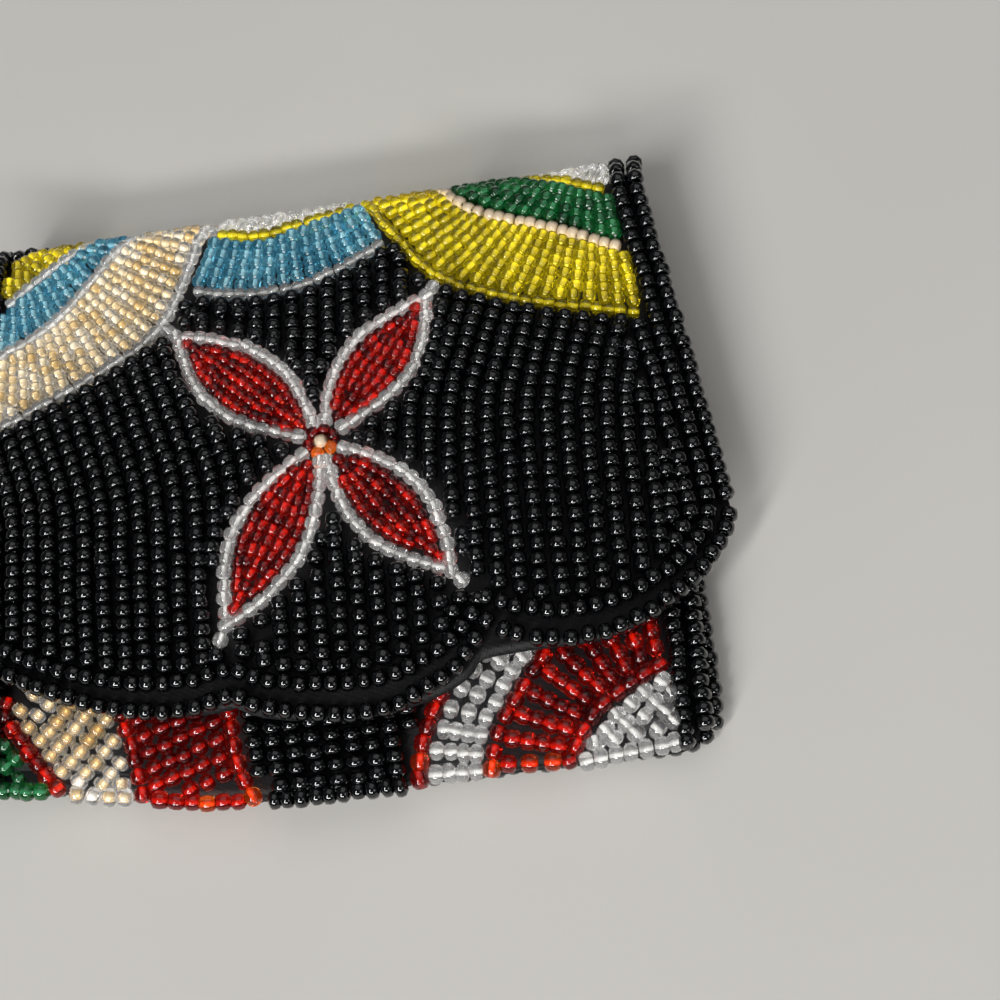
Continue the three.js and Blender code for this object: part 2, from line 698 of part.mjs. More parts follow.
function backRows() {
  const half = POUCH_HALF - GAP;
  const start = bandTop + GAP;
  const foot = backEnd - GAP;
  const at = (r, v) => {
    const u = (2 * r - 1) * half;
    return [u, v < foot ? v : foot - cornerCut(u)];
  };
  const stations = [start, ...foldStations.filter((v) => v > start + GAP), foot];
  addOnFlap('back_black_rows', ridged((2 * half) / ROW, stations, at, CREST, [0, 1]), black);
}

// Edge strands: a string of beads along a line that lies on the cloth

function beadString(lineAt, length, skin) {
  const beads = Math.max(1, Math.floor(length / BEAD_PITCH));
  const sides = 4;
  const profile = circle(0, 0, 1, sides);
  const middle = GAP + BEAD / 2;
  const place = (s) => {
    const p = lineAt(Math.min(1, Math.max(0, s)));
    return above(skin, p.x, p.y, middle);
  };
  const sections = steps(2 * beads).map((s, i) => {
    const here = place(s);
    const ahead = place(s + 0.004).sub(place(s - 0.004)).normalize();
    const p = lineAt(s);
    const up = above(skin, p.x, p.y, middle + 1).sub(here);
    const aside = up.clone().cross(ahead).normalize();
    const radius = (BEAD / 2) * (i % 2 ? 1 : 0.62);
    return profile.map((q) => here.clone().addScaledVector(aside, radius * q.x)
      .addScaledVector(up, radius * q.y).toArray());
  });
  return loft(sections, filled(profile));
}

function edgeStrands() {
  ['right', 'middle', 'left'].forEach((name, i) => {
    const path = lobePath(i, EDGE, EDGE);
    const ends = { right: [0.03, 0.96], middle: [0.04, 0.97], left: [0.03, 0.97] }[name];
    const lineAt = (s) => path.getPointAt(THREE.MathUtils.lerp(ends[0], ends[1], s));
    addMesh(`edge_strand_${name}_lobe`, beadString(lineAt, path.getLength(), flapSkin), black);
  });
  for (const [name, side] of [['right', 1], ['left', -1]]) {
    const lineAt = (s) => {
      const v = THREE.MathUtils.lerp(bandTop, FLAP_SIDE.v + GAP, s);
      return new THREE.Vector2(side * (sideHalf(v) - EDGE), v);
    };
    addMesh(`edge_strand_${name}_side`, beadString(lineAt, bandTop - FLAP_SIDE.v, flapSkin), black);
  }
}

// Beads on the front, below the flap

const frontSide = POUCH_HALF - GAP;
const edgeColumn = frontSide - ROW; // inner side of the black columns along the front's sides
const edgeFree = edgeColumn - beside;

// Shares of the pouch's half width across, and of the height of the beads on the front
const frontCurve = (...places) => curve(places.map(([across, up]) => [
  across * POUCH_HALF,
  THREE.MathUtils.lerp(FRONT_FOOT, FRONT_TOP, up),
]));
const redLeft = frontCurve([-0.75, 0], [-0.807, 0.38], [-edgeFree / POUCH_HALF, 1]);
const panelLeft = frontCurve([-0.521, 0], [-0.544, 0.46], [-0.593, 1]);
const panelRight = frontCurve([-0.216, 0], [-0.261, 0.38], [-0.27, 1]);
const redRight = frontCurve([0.225, 0], [0.261, 0.444], [0.373, 1]);
const archLeft = frontCurve([0.4225, 0], [0.463, 0.429], [0.607, 1]);
const archRight = frontCurve([0.625, 0], [0.706, 0.397], [edgeFree / POUCH_HALF, 0.794]);
const greenSide = frontCurve([-edgeColumn / POUCH_HALF, 0], [-edgeColumn / POUCH_HALF, 0.7]);
const greenRim = frontCurve([-0.773, 0], [-0.8225, 0.35], [-0.89, 0.7]);
const clearSide = frontCurve([edgeColumn / POUCH_HALF, 0], [edgeColumn / POUCH_HALF, 0.62]);
const clearRim = frontCurve([0.66, 0], [0.872, 0.62]);

function rowsAcross(name, left, right, margin, look) {
  const rows = (left.getLength() + right.getLength()) / 2 / RIB;
  addOnFront(name, ridged(rows, steps(2), between(left, right, margin, margin)), look);
}

function frontBeads() {
  const middle = between(panelRight, redRight, clearOf, clearOf);
  const wide = redRight.points[0].x - panelRight.points[0].x;
  const columns = ridged(wide / ROW, steps(3), (r, s) => middle(s, r));
  addOnFront('front_black_middle', columns, black);
  rowsAcross('front_gold_panel', redLeft, panelLeft, clearOf, gold);
  rowsAcross('front_red_panel', panelLeft, panelRight, clearOf, red);
  rowsAcross('front_clear_panel', redRight, archLeft, clearOf, clear);
  rowsAcross('front_red_arch', archLeft, archRight, clearOf, red);
  rowsAcross('front_green_corner', greenSide, greenRim, GAP, green);
  rowsAcross('front_clear_corner', clearRim, clearSide, clearOf, clear);
  const strands = { red_left: redLeft, panel_left: panelLeft, panel_right: panelRight,
    red_right: redRight, arch_left: archLeft, arch_right: archRight };
  for (const [name, line] of Object.entries(strands)) {
    addOnFront(`front_strand_${name}`, strandRidge(line, steps(4)), red);
  }
  for (const [name, side] of [['right', 1], ['left', -1]]) {
    const at = (r, s) => [side * (frontSide - r * ROW), THREE.MathUtils.lerp(CORNER, FRONT_EDGE_TOP, s)];
    addOnFront(`front_black_edge_${name}`, ridged(1, steps(3), at), black);
  }
}

// Edging strand that closes the side and bottom seams
function seamEdging() {
  const out = POUCH_HALF + beside;
  const radius = CORNER + beside;
  const straight = POUCH_HALF - CORNER;
  const path = new THREE.Path().moveTo(-out, MOUTH_Y);
  path.lineTo(-out, CORNER);
  path.absarc(-straight, CORNER, radius, Math.PI, 1.5 * Math.PI);
  steps(10, -straight, straight).slice(1).forEach((x) => path.lineTo(x, -beside));
  path.absarc(straight, CORNER, radius, 1.5 * Math.PI, 2 * Math.PI);
  path.lineTo(out, MOUTH_Y);
  const points = path.getPoints(4);
  const profile = circle(0, 0, BEAD / 2, 5);
  const sections = points.map((p, i) => {
    const before = points[Math.max(0, i - 1)];
    const after = points[Math.min(points.length - 1, i + 1)];
    const way = after.clone().sub(before).normalize();
    return profile.map((q) => [p.x + q.x * way.y, p.y - q.x * way.x, (backZ + seamZ) / 2 + q.y]);
  });
  addMesh('seam_edging', loft(sections, filled(profile)), black);
}

backAndFlapCloth();
frontCloth();
lining();
pressStud();
bands();
flower();
blackGround();
backRows();
edgeStrands();
frontBeads();
seamEdging();

// The origin is under the middle of the purse
const middle = new THREE.Box3().setFromObject(purse).getCenter(new THREE.Vector3());
for (const mesh of purse.children) {
  mesh.geometry.translate(-middle.x, -middle.y, 0);
}

export default purse;
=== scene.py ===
"""A folded coin purse of black satin, covered with strung glass beads."""

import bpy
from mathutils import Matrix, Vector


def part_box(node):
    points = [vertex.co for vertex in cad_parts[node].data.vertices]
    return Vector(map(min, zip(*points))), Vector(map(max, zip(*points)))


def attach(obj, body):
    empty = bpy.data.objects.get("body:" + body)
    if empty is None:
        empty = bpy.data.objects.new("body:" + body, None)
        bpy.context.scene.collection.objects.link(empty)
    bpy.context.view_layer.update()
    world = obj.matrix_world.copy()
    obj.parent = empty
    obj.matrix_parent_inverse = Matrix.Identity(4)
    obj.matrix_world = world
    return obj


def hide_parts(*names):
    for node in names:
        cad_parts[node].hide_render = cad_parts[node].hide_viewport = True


bl_info = {
    "name": "Beaded Coin Purse",
    "version": (1, 0, 0),
    "blender": (4, 5, 0),
    "location": "3D View > Sidebar > Purse",
    "description": "Builds a folded satin purse with rows of glass beads and its studio",
    "category": "Add Mesh",
}

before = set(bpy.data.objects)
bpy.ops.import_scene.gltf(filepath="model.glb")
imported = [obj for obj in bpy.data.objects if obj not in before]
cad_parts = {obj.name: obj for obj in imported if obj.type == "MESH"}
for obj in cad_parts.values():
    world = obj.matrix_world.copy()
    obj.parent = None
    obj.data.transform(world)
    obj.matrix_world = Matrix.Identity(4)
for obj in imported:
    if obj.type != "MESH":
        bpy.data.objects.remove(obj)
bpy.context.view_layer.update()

import bisect
import math
import random

import bmesh
import bpy
from bpy.props import FloatProperty, FloatVectorProperty, PointerProperty
from mathutils import Euler, Matrix, Vector, noise
from mathutils.geometry import interpolate_bezier
from mathutils.kdtree import KDTree

# Lengths below are millimetres. The purse lies on its back with the flap up:
# x runs across it and y runs up from the bottom seam.
MM = 0.001
FRONT_LOW, FRONT_HIGH = (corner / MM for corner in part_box("front_cloth"))
SEAM_LOW, SEAM_HIGH = (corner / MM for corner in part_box("seam_edging"))
BOTTOM_Y = FRONT_LOW.y
MOUTH_Y = FRONT_HIGH.y - BOTTOM_Y
POUCH_HALF = FRONT_HIGH.x
BACK_Z = (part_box("back_and_flap_cloth")[0] / MM).z
CORNER = 4.0
GAP = 0.3

# How the cloth is folded and how far the pouch is filled.
FOLD_Y = 74.5
FOLD_REACH = 5.2
FOLD_HEIGHT = 8.7
FOLD_Z = BACK_Z + FOLD_HEIGHT
FOLD_LENGTH = math.pi * math.sqrt((FOLD_REACH ** 2 + (FOLD_HEIGHT / 2) ** 2) / 2)
BACK_END = FOLD_LENGTH + FOLD_Y
SEAM_RISE = 1.5
SEAM_Z = BACK_Z + SEAM_RISE
SEAM_TUCK = 1.25
PUFF = 6.6
CREST_Y = 36.0
MOUTH_SAG = 0.12
SWELL_END = 1.15
FLAP_RISE = 3.4
FLAP_DROOP = 0.62

# The bottom seam draws the lower left up, where the purse has lost its shape.
DRAWN_UP = 6.4
DRAWN_FROM = -3.0
DRAWN_RUN = 52.0

# The flap's outline, from the fold down: u across it, v negative towards its tips.
FLAP_HALF = 45.5
FLAP_LENGTH = 68.4
EDGE = 1.0
CLOTH_EDGE = 0.45
HEM = 4.4
NOTCH_HEM = 1.2
LOBE_ROUND = 0.47
LINE_STEPS = 24
BAND_END = 4.6
BAND_REACH = 0.6
BAND_TOP = BAND_REACH * FOLD_LENGTH - GAP / 2
SIDE_COLUMN = 3.3
INNER_COLUMN = 5.6

# The bead drawing on the front, between the bottom seam and the flap's tips.
FRONT_FOOT = -0.8
FRONT_TOP = 13.2
FRONT_EDGE_TOP = 22.0
EDGE_COLUMNS = (41.8, 44.2)
EDGE_ROOM = 1.0
EDGE_FREE = 40.3
BACK_FOOT = 2.6
SEAM_FOOT = 1.0

# The flower: its middle, and how its four petals start and swell.
FLOWER_EYE = 1.66
PETAL_START = 2.75
PETAL_OPEN = 1.3
PETAL_HALF = 3.95

# The press stud under the flap, and its two halves as (radius, height) over the front.
STUD_PLACE = (5.0, 22.0)
STUD_HALVES = {
    "snap_socket": ((2.0, 0.3), (4.4, 0.3), (4.6, 0.42), (4.5, 0.62), (3.3, 0.7), (3.1, 0.8),
                    (3.05, 1.2), (2.85, 1.4), (2.2, 1.4), (2.0, 1.25)),
    "snap_stud": ((0.4, 0.75), (1.45, 0.7), (1.7, 0.85), (1.55, 1.25), (1.6, 1.62), (2.0, 1.7),
                  (4.4, 1.72), (4.6, 1.9), (4.45, 2.15), (0.4, 2.2)),
}

SEED = "coin purse"


def measure(name, words, default, low, high):
    """A length in millimetres that can be changed in the sidebar."""
    return FloatProperty(name=name, description=words, default=default * MM, min=low * MM,
                         max=high * MM, precision=5, unit="LENGTH")


class PurseSizes(bpy.types.PropertyGroup):
    """Sizes of the beads and the cloth."""

    ground_bead: measure("Ground bead", "Diameter of a bead of the ground and the edges", 2.3, 1, 3)
    ground_pitch: measure("Ground pitch", "From one bead of the ground to the next on its thread",
                          1.76, 1, 4)
    front_bead: measure("Front bead", "Diameter of the round beads on the front", 2.45, 1, 3)
    front_pitch: measure("Front pitch", "From one round bead of the front to the next", 1.66, 1, 4)
    long_bead: measure("Long bead", "Diameter of the long red beads on the front", 2.3, 1, 3)
    long_pitch: measure("Long pitch", "From one long red bead to the next", 2.0, 1, 4)
    outline_bead: measure("Outline bead", "Diameter of the clear beads round the petals", 1.95, 1, 3)
    outline_pitch: measure("Outline pitch", "From one clear bead round a petal to the next",
                           1.66, 1, 4)
    fine_bead: measure("Fine bead", "Diameter of the beads in the petals, the bands and their rims",
                       1.72, 1, 3)
    fine_pitch: measure("Fine pitch", "From one fine bead to the next on a thread", 1.5, 1, 4)
    closeness: FloatProperty(
        name="Closeness", description="Length of a bead as a share of its pitch",
        default=0.97, min=0.5, max=1.0, subtype="FACTOR")
    column: measure("Column", "From one thread of the black ground to the next", 2.4, 1.5, 5)
    rib: measure("Rib", "From one rib of a band to the next", 2.02, 1.5, 5)
    petal_row: measure("Petal row", "From one row of a petal to the next", 1.3, 1, 4)
    cloth: measure("Satin", "Thickness of the satin", 0.6, 0.1, 2)
    lining: measure("Lining", "Thickness of the lining", 0.4, 0.1, 2)
    unevenness: FloatProperty(
        name="Unevenness", description="How much hand-strung beads differ and tilt",
        default=1.0, min=0.0, max=2.0, subtype="FACTOR")


def colour(name, words, default):
    """A colour that can be changed in the sidebar."""
    return FloatVectorProperty(
        name=name, description=words, default=default, size=3, min=0, max=1, subtype="COLOR")


class PurseColours(bpy.types.PropertyGroup):
    """Colours of the glass, the threads and the cloth."""

    satin: colour("Satin", "Woven satin of the purse", (0.0028, 0.0028, 0.0033))
    lining: colour("Lining", "Plain cloth inside the pouch", (0.010, 0.0095, 0.010))
    metal: colour("Press stud", "Plated metal of the press stud", (0.42, 0.40, 0.37))
    black: colour("Black", "Black glass", (0.0008, 0.0010, 0.0013))
    red_deep: colour("Deep red", "Red glass at its darkest", (0.11, 0.0012, 0.002))
    red_bright: colour("Bright red", "Red glass at its lightest", (0.50, 0.010, 0.004))
    red_core_deep: colour("Deep red thread", "Thread in shadow in red glass", (0.28, 0.006, 0.003))
    red_core: colour("Red thread", "Thread lit through red glass", (0.70, 0.060, 0.008))
    # Painted glow: red glass and thread coloured as if daylight shone through them.
    red_glow: colour("Red glow", "Red glass with daylight behind it", (0.92, 0.16, 0.012))
    orange: colour("Orange", "Beads in the flower's middle", (0.85, 0.22, 0.015))
    clear: colour("Clear", "Colourless glass", (0.93, 0.92, 0.90))
    champagne: colour("Champagne", "Glass of the gold-lined beads", (0.84, 0.70, 0.46))
    gold_deep: colour("Deep gold", "Lining of the large beads at its darkest", (0.50, 0.29, 0.07))
    gold: colour("Gold", "Lining of the large beads at its lightest", (0.72, 0.53, 0.27))
    pale_gold_deep: colour("Deep pale gold", "Lining of the fine beads at its darkest",
                           (0.66, 0.47, 0.19))
    pale_gold: colour("Pale gold", "Lining of the fine beads at its lightest", (0.90, 0.78, 0.55))
    yellow_deep: colour("Deep yellow", "Olive glass at its darkest", (0.40, 0.32, 0.002))
    yellow_bright: colour("Bright yellow", "Olive glass at its lightest", (0.74, 0.62, 0.01))
    yellow_core: colour("Yellow thread", "Thread lit through olive glass", (0.95, 0.84, 0.12))
    green_deep: colour("Deep green", "Emerald glass at its darkest", (0.0015, 0.05, 0.011))
    green_bright: colour("Bright green", "Emerald glass at its lightest", (0.010, 0.19, 0.045))
    blue_deep: colour("Deep blue", "Aqua glass at its darkest", (0.07, 0.33, 0.47))
    blue_bright: colour("Bright blue", "Aqua glass at its lightest", (0.22, 0.57, 0.70))
    cream: colour("Cream", "Pearly cream beads", (0.78, 0.62, 0.43))
    thread: colour("Thread", "Thread seen through the glass", (0.54, 0.53, 0.51))
    floor: colour("Floor", "Plain floor", (0.62, 0.60, 0.565))


def millimetres(sizes, name):
    return getattr(sizes, name) / MM


# Lines on the flat cloth.

class Line:
    """A line on the flat cloth, walked by its length."""

    def __init__(self, places):
        self.places = [Vector(place).to_2d() for place in places]
        self.run = [0.0]
        for here, there in zip(self.places, self.places[1:]):
            self.run.append(self.run[-1] + (there - here).length)
        self.length = self.run[-1]

    def at(self, along):
        """Place and heading at a length along the line."""
        along = min(max(along, 0.0), self.length)
        step = bisect.bisect_right(self.run, along) - 1
        step = min(max(step, 0), len(self.places) - 2)
        here, there = self.places[step], self.places[step + 1]
        span = max(self.run[step + 1] - self.run[step], 1e-9)
        return here.lerp(there, (along - self.run[step]) / span), (there - here).normalized()

    def share(self, share):
        return self.at(share * self.length)[0]

    def beads(self, pitch, trim=0.0):
        """Beads strung evenly along the line, as (place, heading)."""
        room = self.length - 2 * trim
        count = round(room / pitch)
        if count < 1:
            return []
        step = room / count
        return [self.at(trim + (k + 0.5) * step) for k in range(count)]


def smooth_line(*places, steps=14):
    """A line that passes smoothly through a few places."""
    ends = [Vector(place) for place in places]
    walk = [ends[0]]
    for k in range(len(ends) - 1):
        before, here = ends[max(k - 1, 0)], ends[k]
        there, after = ends[k + 1], ends[min(k + 2, len(ends) - 1)]
        leave, arrive = (there - before) / 2, (after - here) / 2
        walk += interpolate_bezier(
            here, here + leave / 3, there - arrive / 3, there, steps + 1)[1:]
    return Line(walk)


def ramp(distance, softness=4.0):
    """Distance where it is positive, else nothing, with a soft turn."""
    return (distance + math.sqrt(distance ** 2 + softness ** 2)) / 2


def inside(place, ring):
    """Whether a place lies in a closed ring of places."""
    odd = False
    for here, there in zip(ring, ring[1:] + ring[:1]):
        if (here.y > place.y) != (there.y > place.y):
            share = (place.y - here.y) / (there.y - here.y)
            if place.x < here.x + share * (there.x - here.x):
                odd = not odd
    return odd


def corners_of(ring):
    """The lowest and highest corner of the box round a ring of places."""
    return [Vector(pick(part) for part in zip(*ring)) for pick in (min, max)]


def keep_off(lines, room, step=0.3):
    """A test that a place is at least this far from every line."""
    marks = [line.at(k * step)[0] for line in lines for k in range(int(line.length / step) + 2)]
    tree = KDTree(len(marks))
    for index, mark in enumerate(marks):
        tree.insert(mark.to_3d(), index)
    tree.balance()
    return lambda place: tree.find(place.to_3d())[2] >= room


def spread_out(beads, room):
    """The beads in their order, without those that crowd an earlier one."""
    kept = []
    for place, way in beads:
        if all((place - other).length >= room for other, _ in kept):
            kept.append((place, way))
    return kept


def fitted(line, pitch, keep, look=0.2, sway=0.0, squeeze=0.25):
    """Beads strung from end to end of each stretch of a line that is free.

    Sway shifts the beads in the middle of a stretch along it, in pitches. Where no more
    than the squeeze is missing, as a share of a pitch, a stretch takes one more bead.
    """
    beads, start = [], None
    steps = int(line.length / look)
    for k in range(steps + 2):
        free = k <= steps and keep(line.at(k * look)[0])
        if free and start is None:
            start = k * look
        if not free and start is not None:
            stretch = (k - 1) * look - start
            count = int(stretch / pitch + squeeze) + 1
            if count == 1:
                beads.append(line.at(start + stretch / 2))
            else:
                for n in range(count):
                    share = n / (count - 1)
                    shift = sway * math.sin(math.pi * share) / (count - 1)
                    beads.append(line.at(start + stretch * (share + shift)))
            start = None
    return beads


def gap_fillers(beads, keep, low, high, room, look=0.35):
    """Places for single beads in the gaps that the threads leave."""
    taken = {}

    def cell(place):
        return math.floor(place.x / room), math.floor(place.y / room)

    def crowded(place):
        column, row = cell(place)
        return any((place - other).length < room
                   for across in (-1, 0, 1) for along in (-1, 0, 1)
                   for other in taken.get((column + across, row + along), ()))

    for place, _ in beads:
        taken.setdefault(cell(place), []).append(place)
    added = []
    for row in range(int((high.y - low.y) / look) + 1):
        for column in range(int((high.x - low.x) / look) + 1):
            place = Vector((low.x + column * look, low.y + row * look))
            if not crowded(place) and keep(place):
                taken.setdefault(cell(place), []).append(place)
                added.append((place, Vector((0, -1))))
    return added


def hatching(ring, degrees, pitch):
    """Parallel threads over a ring of places."""
    way = Vector((math.cos(math.radians(degrees)), math.sin(math.radians(degrees))))
    side = Vector((-way.y, way.x))
    reach = [place.dot(way) for place in ring]
    spread = [place.dot(side) for place in ring]
    count = int((max(spread) - min(spread)) / pitch) + 1
    first = (max(spread) + min(spread) - (count - 1) * pitch) / 2
    return [
        Line((side * (first + k * pitch) + way * min(reach),
              side * (first + k * pitch) + way * max(reach)))
        for k in range(count)]


def ribs(lower, upper, count, bead_pitch, margin, least_slant=0.5):
    """Beads on ribs that cross a band from its lower to its upper line."""
    beads = []
    for k in range(count):
        share = (k + 0.5) / count
        foot, along_foot = lower.at(share * lower.length)
        head, along_head = upper.at(share * upper.length)
        way = (head - foot).normalized()
        slant = [max(abs(way.cross(along)), least_slant) for along in (along_foot, along_head)]
        foot, head = foot + way * (margin / slant[0]), head - way * (margin / slant[1])
        if (head - foot).dot(way) >= 0:
            rib = Line((foot, head))
            steps = round(rib.length / bead_pitch)
            if steps:
                beads += [rib.at(rib.length * n / steps) for n in range(steps + 1)]
            else:
                beads.append((foot.lerp(head, 0.5), way))
    return beads


# The cloth's shape.

def settled(x, y, z):
    """A point of the cloth after the seam has drawn the lower left up."""
    along = min(max((DRAWN_FROM - x) / DRAWN_RUN, 0), 1)
    low = max(1 - y / MOUTH_Y, 0)
    return Vector((x, y + DRAWN_UP * (1 - math.cos(math.pi * along)) / 2 * low ** 2, z))


def corner_cut(x):
    """How far the rounded lower corner cuts into the cloth."""
    over = abs(x) - (POUCH_HALF - CORNER)
    return CORNER - math.sqrt(max(CORNER ** 2 - over ** 2, 0)) if over > 0 else 0.0


def across_swell(x, droop):
    return 1 - droop * min(abs(x) / POUCH_HALF, SWELL_END) ** 3


def front_skin(x, y):
    """Outer face of the pouch's front, puffed over what it holds."""
    if y < CREST_Y:
        rise = math.sin(math.pi / 2 * max(y, 0) / CREST_Y)
    else:
        rise = 1 - MOUTH_SAG * ((y - CREST_Y) / (MOUTH_Y - CREST_Y)) ** 2
    return settled(x, y, SEAM_Z + PUFF * max(across_swell(x, 1), 0) * rise)


def flap_height(x, y):
    base = SEAM_Z + FLAP_RISE
    swell = PUFF * across_swell(x, FLAP_DROOP)
    if y < CREST_Y:
        return base + swell * math.sin(math.pi / 2 * max(y, 0) / CREST_Y)
    turn = math.pi * (FOLD_Y - y) / (FOLD_Y - CREST_Y)
    return FOLD_Z + (base + swell - FOLD_Z) * (1 - math.cos(turn)) / 2


def flap_skin(u, v):
    """Outer face of the cloth that is flap, fold and back in one."""
    if v <= 0:
        return settled(u, FOLD_Y + v, flap_height(u, FOLD_Y + v))
    if v < FOLD_LENGTH:
        turn = math.pi * v / FOLD_LENGTH
        return Vector((u, FOLD_Y + FOLD_REACH * math.sin(turn),
                       BACK_Z + FOLD_HEIGHT / 2 * (1 + math.cos(turn))))
    return settled(u, FOLD_Y + FOLD_LENGTH - v, BACK_Z)


def seam_skin(x, y):
    """The level of the seam that joins front and back, lowest along the bottom."""
    level = (SEAM_LOW.z + SEAM_HIGH.z) / 2
    return settled(x, y, level - SEAM_TUCK * (1 - min(max(y / (2 * CORNER), 0), 1)))


def facing(skin, u, v, step=0.05):
    """The way the cloth's outer face looks at a place."""
    across = skin(u + step, v) - skin(u - step, v)
    along = skin(u, v + step) - skin(u, v - step)
    return across.cross(along).normalized()


def lifted(skin, u, v, height):
    return skin(u, v) + facing(skin, u, v) * height


def in_frame(point):
    """A point of the purse in metres, where the solid model has it."""
    return Vector((point.x, point.y + BOTTOM_Y, point.z)) * MM


# The flap's drawing.

def spot(across, down):
    """A place on the flap, as shares of its half width and its length."""
    return Vector((across * FLAP_HALF, -down * FLAP_LENGTH))


FLAP_SIDE = spot(1.125, 0.6725)
LOBE_TIPS = (spot(0.67, 0.917), spot(0.11, 0.998), spot(-0.43, 0.97))
NOTCHES = (spot(0.44, 0.857), spot(-0.2264, 0.935))
CLOTH_NOTCHES = (spot(0.415, 0.928), spot(-0.2264, 0.957))
FLOWER = spot(0.044, 0.4825)
# Each petal's tip, and its width as a share of the usual one.
PETALS = {
    "upper_left": (spot(-0.376, 0.1974), 1.04),
    "upper_right": (spot(0.3516, 0.1886), 1.0),
    "lower_right": (spot(0.376, 0.763), 0.94),
    "lower_left": (spot(-0.234, 0.813), 1.0),
}


def side_half(v):
    """Half width of the flap, which widens towards its lobes."""
    return FLAP_HALF + (FLAP_SIDE.x - FLAP_HALF) * min(max(v / FLAP_SIDE.y, 0), 1)


def side_line(sign, inset, top, foot):
    """Down one side of the flap, at an inset from the edge of the cloth."""
    heights = [top + (foot - top) * k / LINE_STEPS for k in range(LINE_STEPS + 1)]
    return Line([(sign * (side_half(v) - inset), v) for v in heights])


def lobe_line(lobe, side_inset, tip_inset, notches=NOTCHES):
    """Right to left round one of the three lobes at the flap's tip."""
    ends = [Vector((FLAP_SIDE.x - side_inset, FLAP_SIDE.y))]
    ends += [notch + Vector((0, NOTCH_HEM * side_inset)) for notch in notches]
    ends += [Vector((side_inset - FLAP_SIDE.x, FLAP_SIDE.y))]
    tip = LOBE_TIPS[lobe] + Vector((0, tip_inset))
    first, last = ends[lobe], ends[lobe + 1]
    walk = []
    for here, there in ((first, tip), (tip, last)):
        outer = first if here is first else last
        corner = Vector((outer.x, tip.y))
        walk += interpolate_bezier(
            here, here.lerp(corner, LOBE_ROUND), there.lerp(corner, LOBE_ROUND), there,
            LINE_STEPS)
    return Line(walk)


def petal_axis(name):
    """Where a petal starts, where it ends, and its half width."""
    tip, wide = PETALS[name]
    way = (tip - FLOWER).normalized()
    return FLOWER + way * PETAL_START, tip, wide * PETAL_HALF


def petal_side(name, share, margin=0.0, steps=40):
    """A line from a petal's start to its tip, at a share of its half width."""
    start, tip, half = petal_axis(name)
    way = (tip - start).normalized()
    side = Vector((-way.y, way.x))
    tip = tip - way * margin
    line = []
    for k in range(steps + 1):
        along = k / steps
        wide = half * math.sin(math.pi * along) + PETAL_OPEN * (1 - along)
        line.append(start.lerp(tip, along) + side * (share * max(wide - margin, 0)))
    return Line(line)


def petal_stem(name, pitch):
    """The bead past a petal's tip in which its outline ends."""
    start, tip, _ = petal_axis(name)
    way = (tip - start).normalized()
    return tip + way * pitch, way


def flap_lines():
    """The lines that part the bands on the flap, by name."""
    rear = -BAND_TOP / FLAP_LENGTH

    def at_side(sign, down):
        return sign * (side_half(-down * FLAP_LENGTH) - BAND_END) / FLAP_HALF, down

    drawn = {
        "gold_lower": ((-0.275, rear), (-0.336, 0.015), (-0.435, 0.174), (-0.646, 0.269),
                       at_side(-1, 0.357)),
        "gold_upper": ((-0.462, rear), (-0.563, -0.037), (-0.67, 0.058), (-0.769, 0.126),
                       at_side(-1, 0.184)),
        "blue_outer": ((-0.615, rear), (-0.699, -0.044), (-0.809, 0.012), at_side(-1, 0.067)),
        "corner_left": ((-0.758, rear), (-0.831, -0.076), at_side(-1, -0.038)),
        "arc_top": ((-0.272, -0.035), (-0.132, -0.016), (0, -0.031), (0.11, -0.048),
                    (0.165, -0.062)),
        "arc_lower": ((-0.345, 0.09), (-0.176, 0.118), (-0.033, 0.118), (0.088, 0.094),
                      (0.207, 0.053), (0.243, 0.036)),
        "arc_rear": ((-0.22, rear), (0.07, rear)),
        "yellow_lower": ((0.132, rear), (0.202, -0.044), (0.284, 0.044), (0.391, 0.143),
                         (0.615, 0.222), at_side(1, 0.281)),
        "cream": ((0.369, rear), (0.426, -0.053), (0.51, 0), (0.725, 0.067), at_side(1, 0.136)),
        "green_top": ((0.571, rear), (0.659, -0.073), (0.778, -0.035), at_side(1, 0)),
        "corner_right": ((0.703, rear), (0.835, 0.83 * rear), at_side(1, -0.079)),
    }
    return {name: smooth_line(*(spot(*place) for place in places))
            for name, places in drawn.items()}


def front_lines():
    """The strands on the front, from the bottom seam up, by name."""
    free, edge = EDGE_FREE / POUCH_HALF, (EDGE_COLUMNS[0] - EDGE_ROOM) / POUCH_HALF
    drawn = {
        "green_side": ((-edge, 0), (-edge, 0.7)),
        "green_rim": ((-0.773, 0), (-0.8225, 0.35), (-0.89, 0.7)),
        "red_left": ((-0.755, 0), (-0.835, 0.38), (-free, 0.75), (-free, 1)),
        "panel_left": ((-0.521, 0), (-0.544, 0.46), (-0.593, 1)),
        "panel_right": ((-0.208, 0), (-0.256, 0.36), (-0.272, 1)),
        "red_right": ((0.225, 0), (0.261, 0.444), (0.373, 1)),
        "arch_left": ((0.4225, 0), (0.463, 0.429), (0.607, 1)),
        "arch_right": ((0.619, 0), (0.703, 0.41), (0.795, 0.62), (free, 0.81)),
        "panel_head": ((0.225, 0), (0.261, 0.444), (0.373, 1), (0.53, 1.42)),
        "arch_head": ((0.4225, 0), (0.463, 0.429), (0.607, 1), (0.76, 1.32), (0.9, 1.55)),
        "corner_side": ((edge, 0.1), (edge, 0.4), (edge, 0.72)),
    }
    rise = FRONT_TOP - FRONT_FOOT
    return {name: smooth_line(*((across * POUCH_HALF, FRONT_FOOT + up * rise)
                                for across, up in places))
            for name, places in drawn.items()}


# Materials.

def new_material(name):
    material = bpy.data.materials.new(name)
    material.use_nodes = True
    tree = material.node_tree
    return material, tree, tree.nodes["Principled BSDF"]


def add_node(tree, kind, **settings):
    node = tree.nodes.new(kind)
    for name, value in settings.items():
        setattr(node, name, value)
    return node


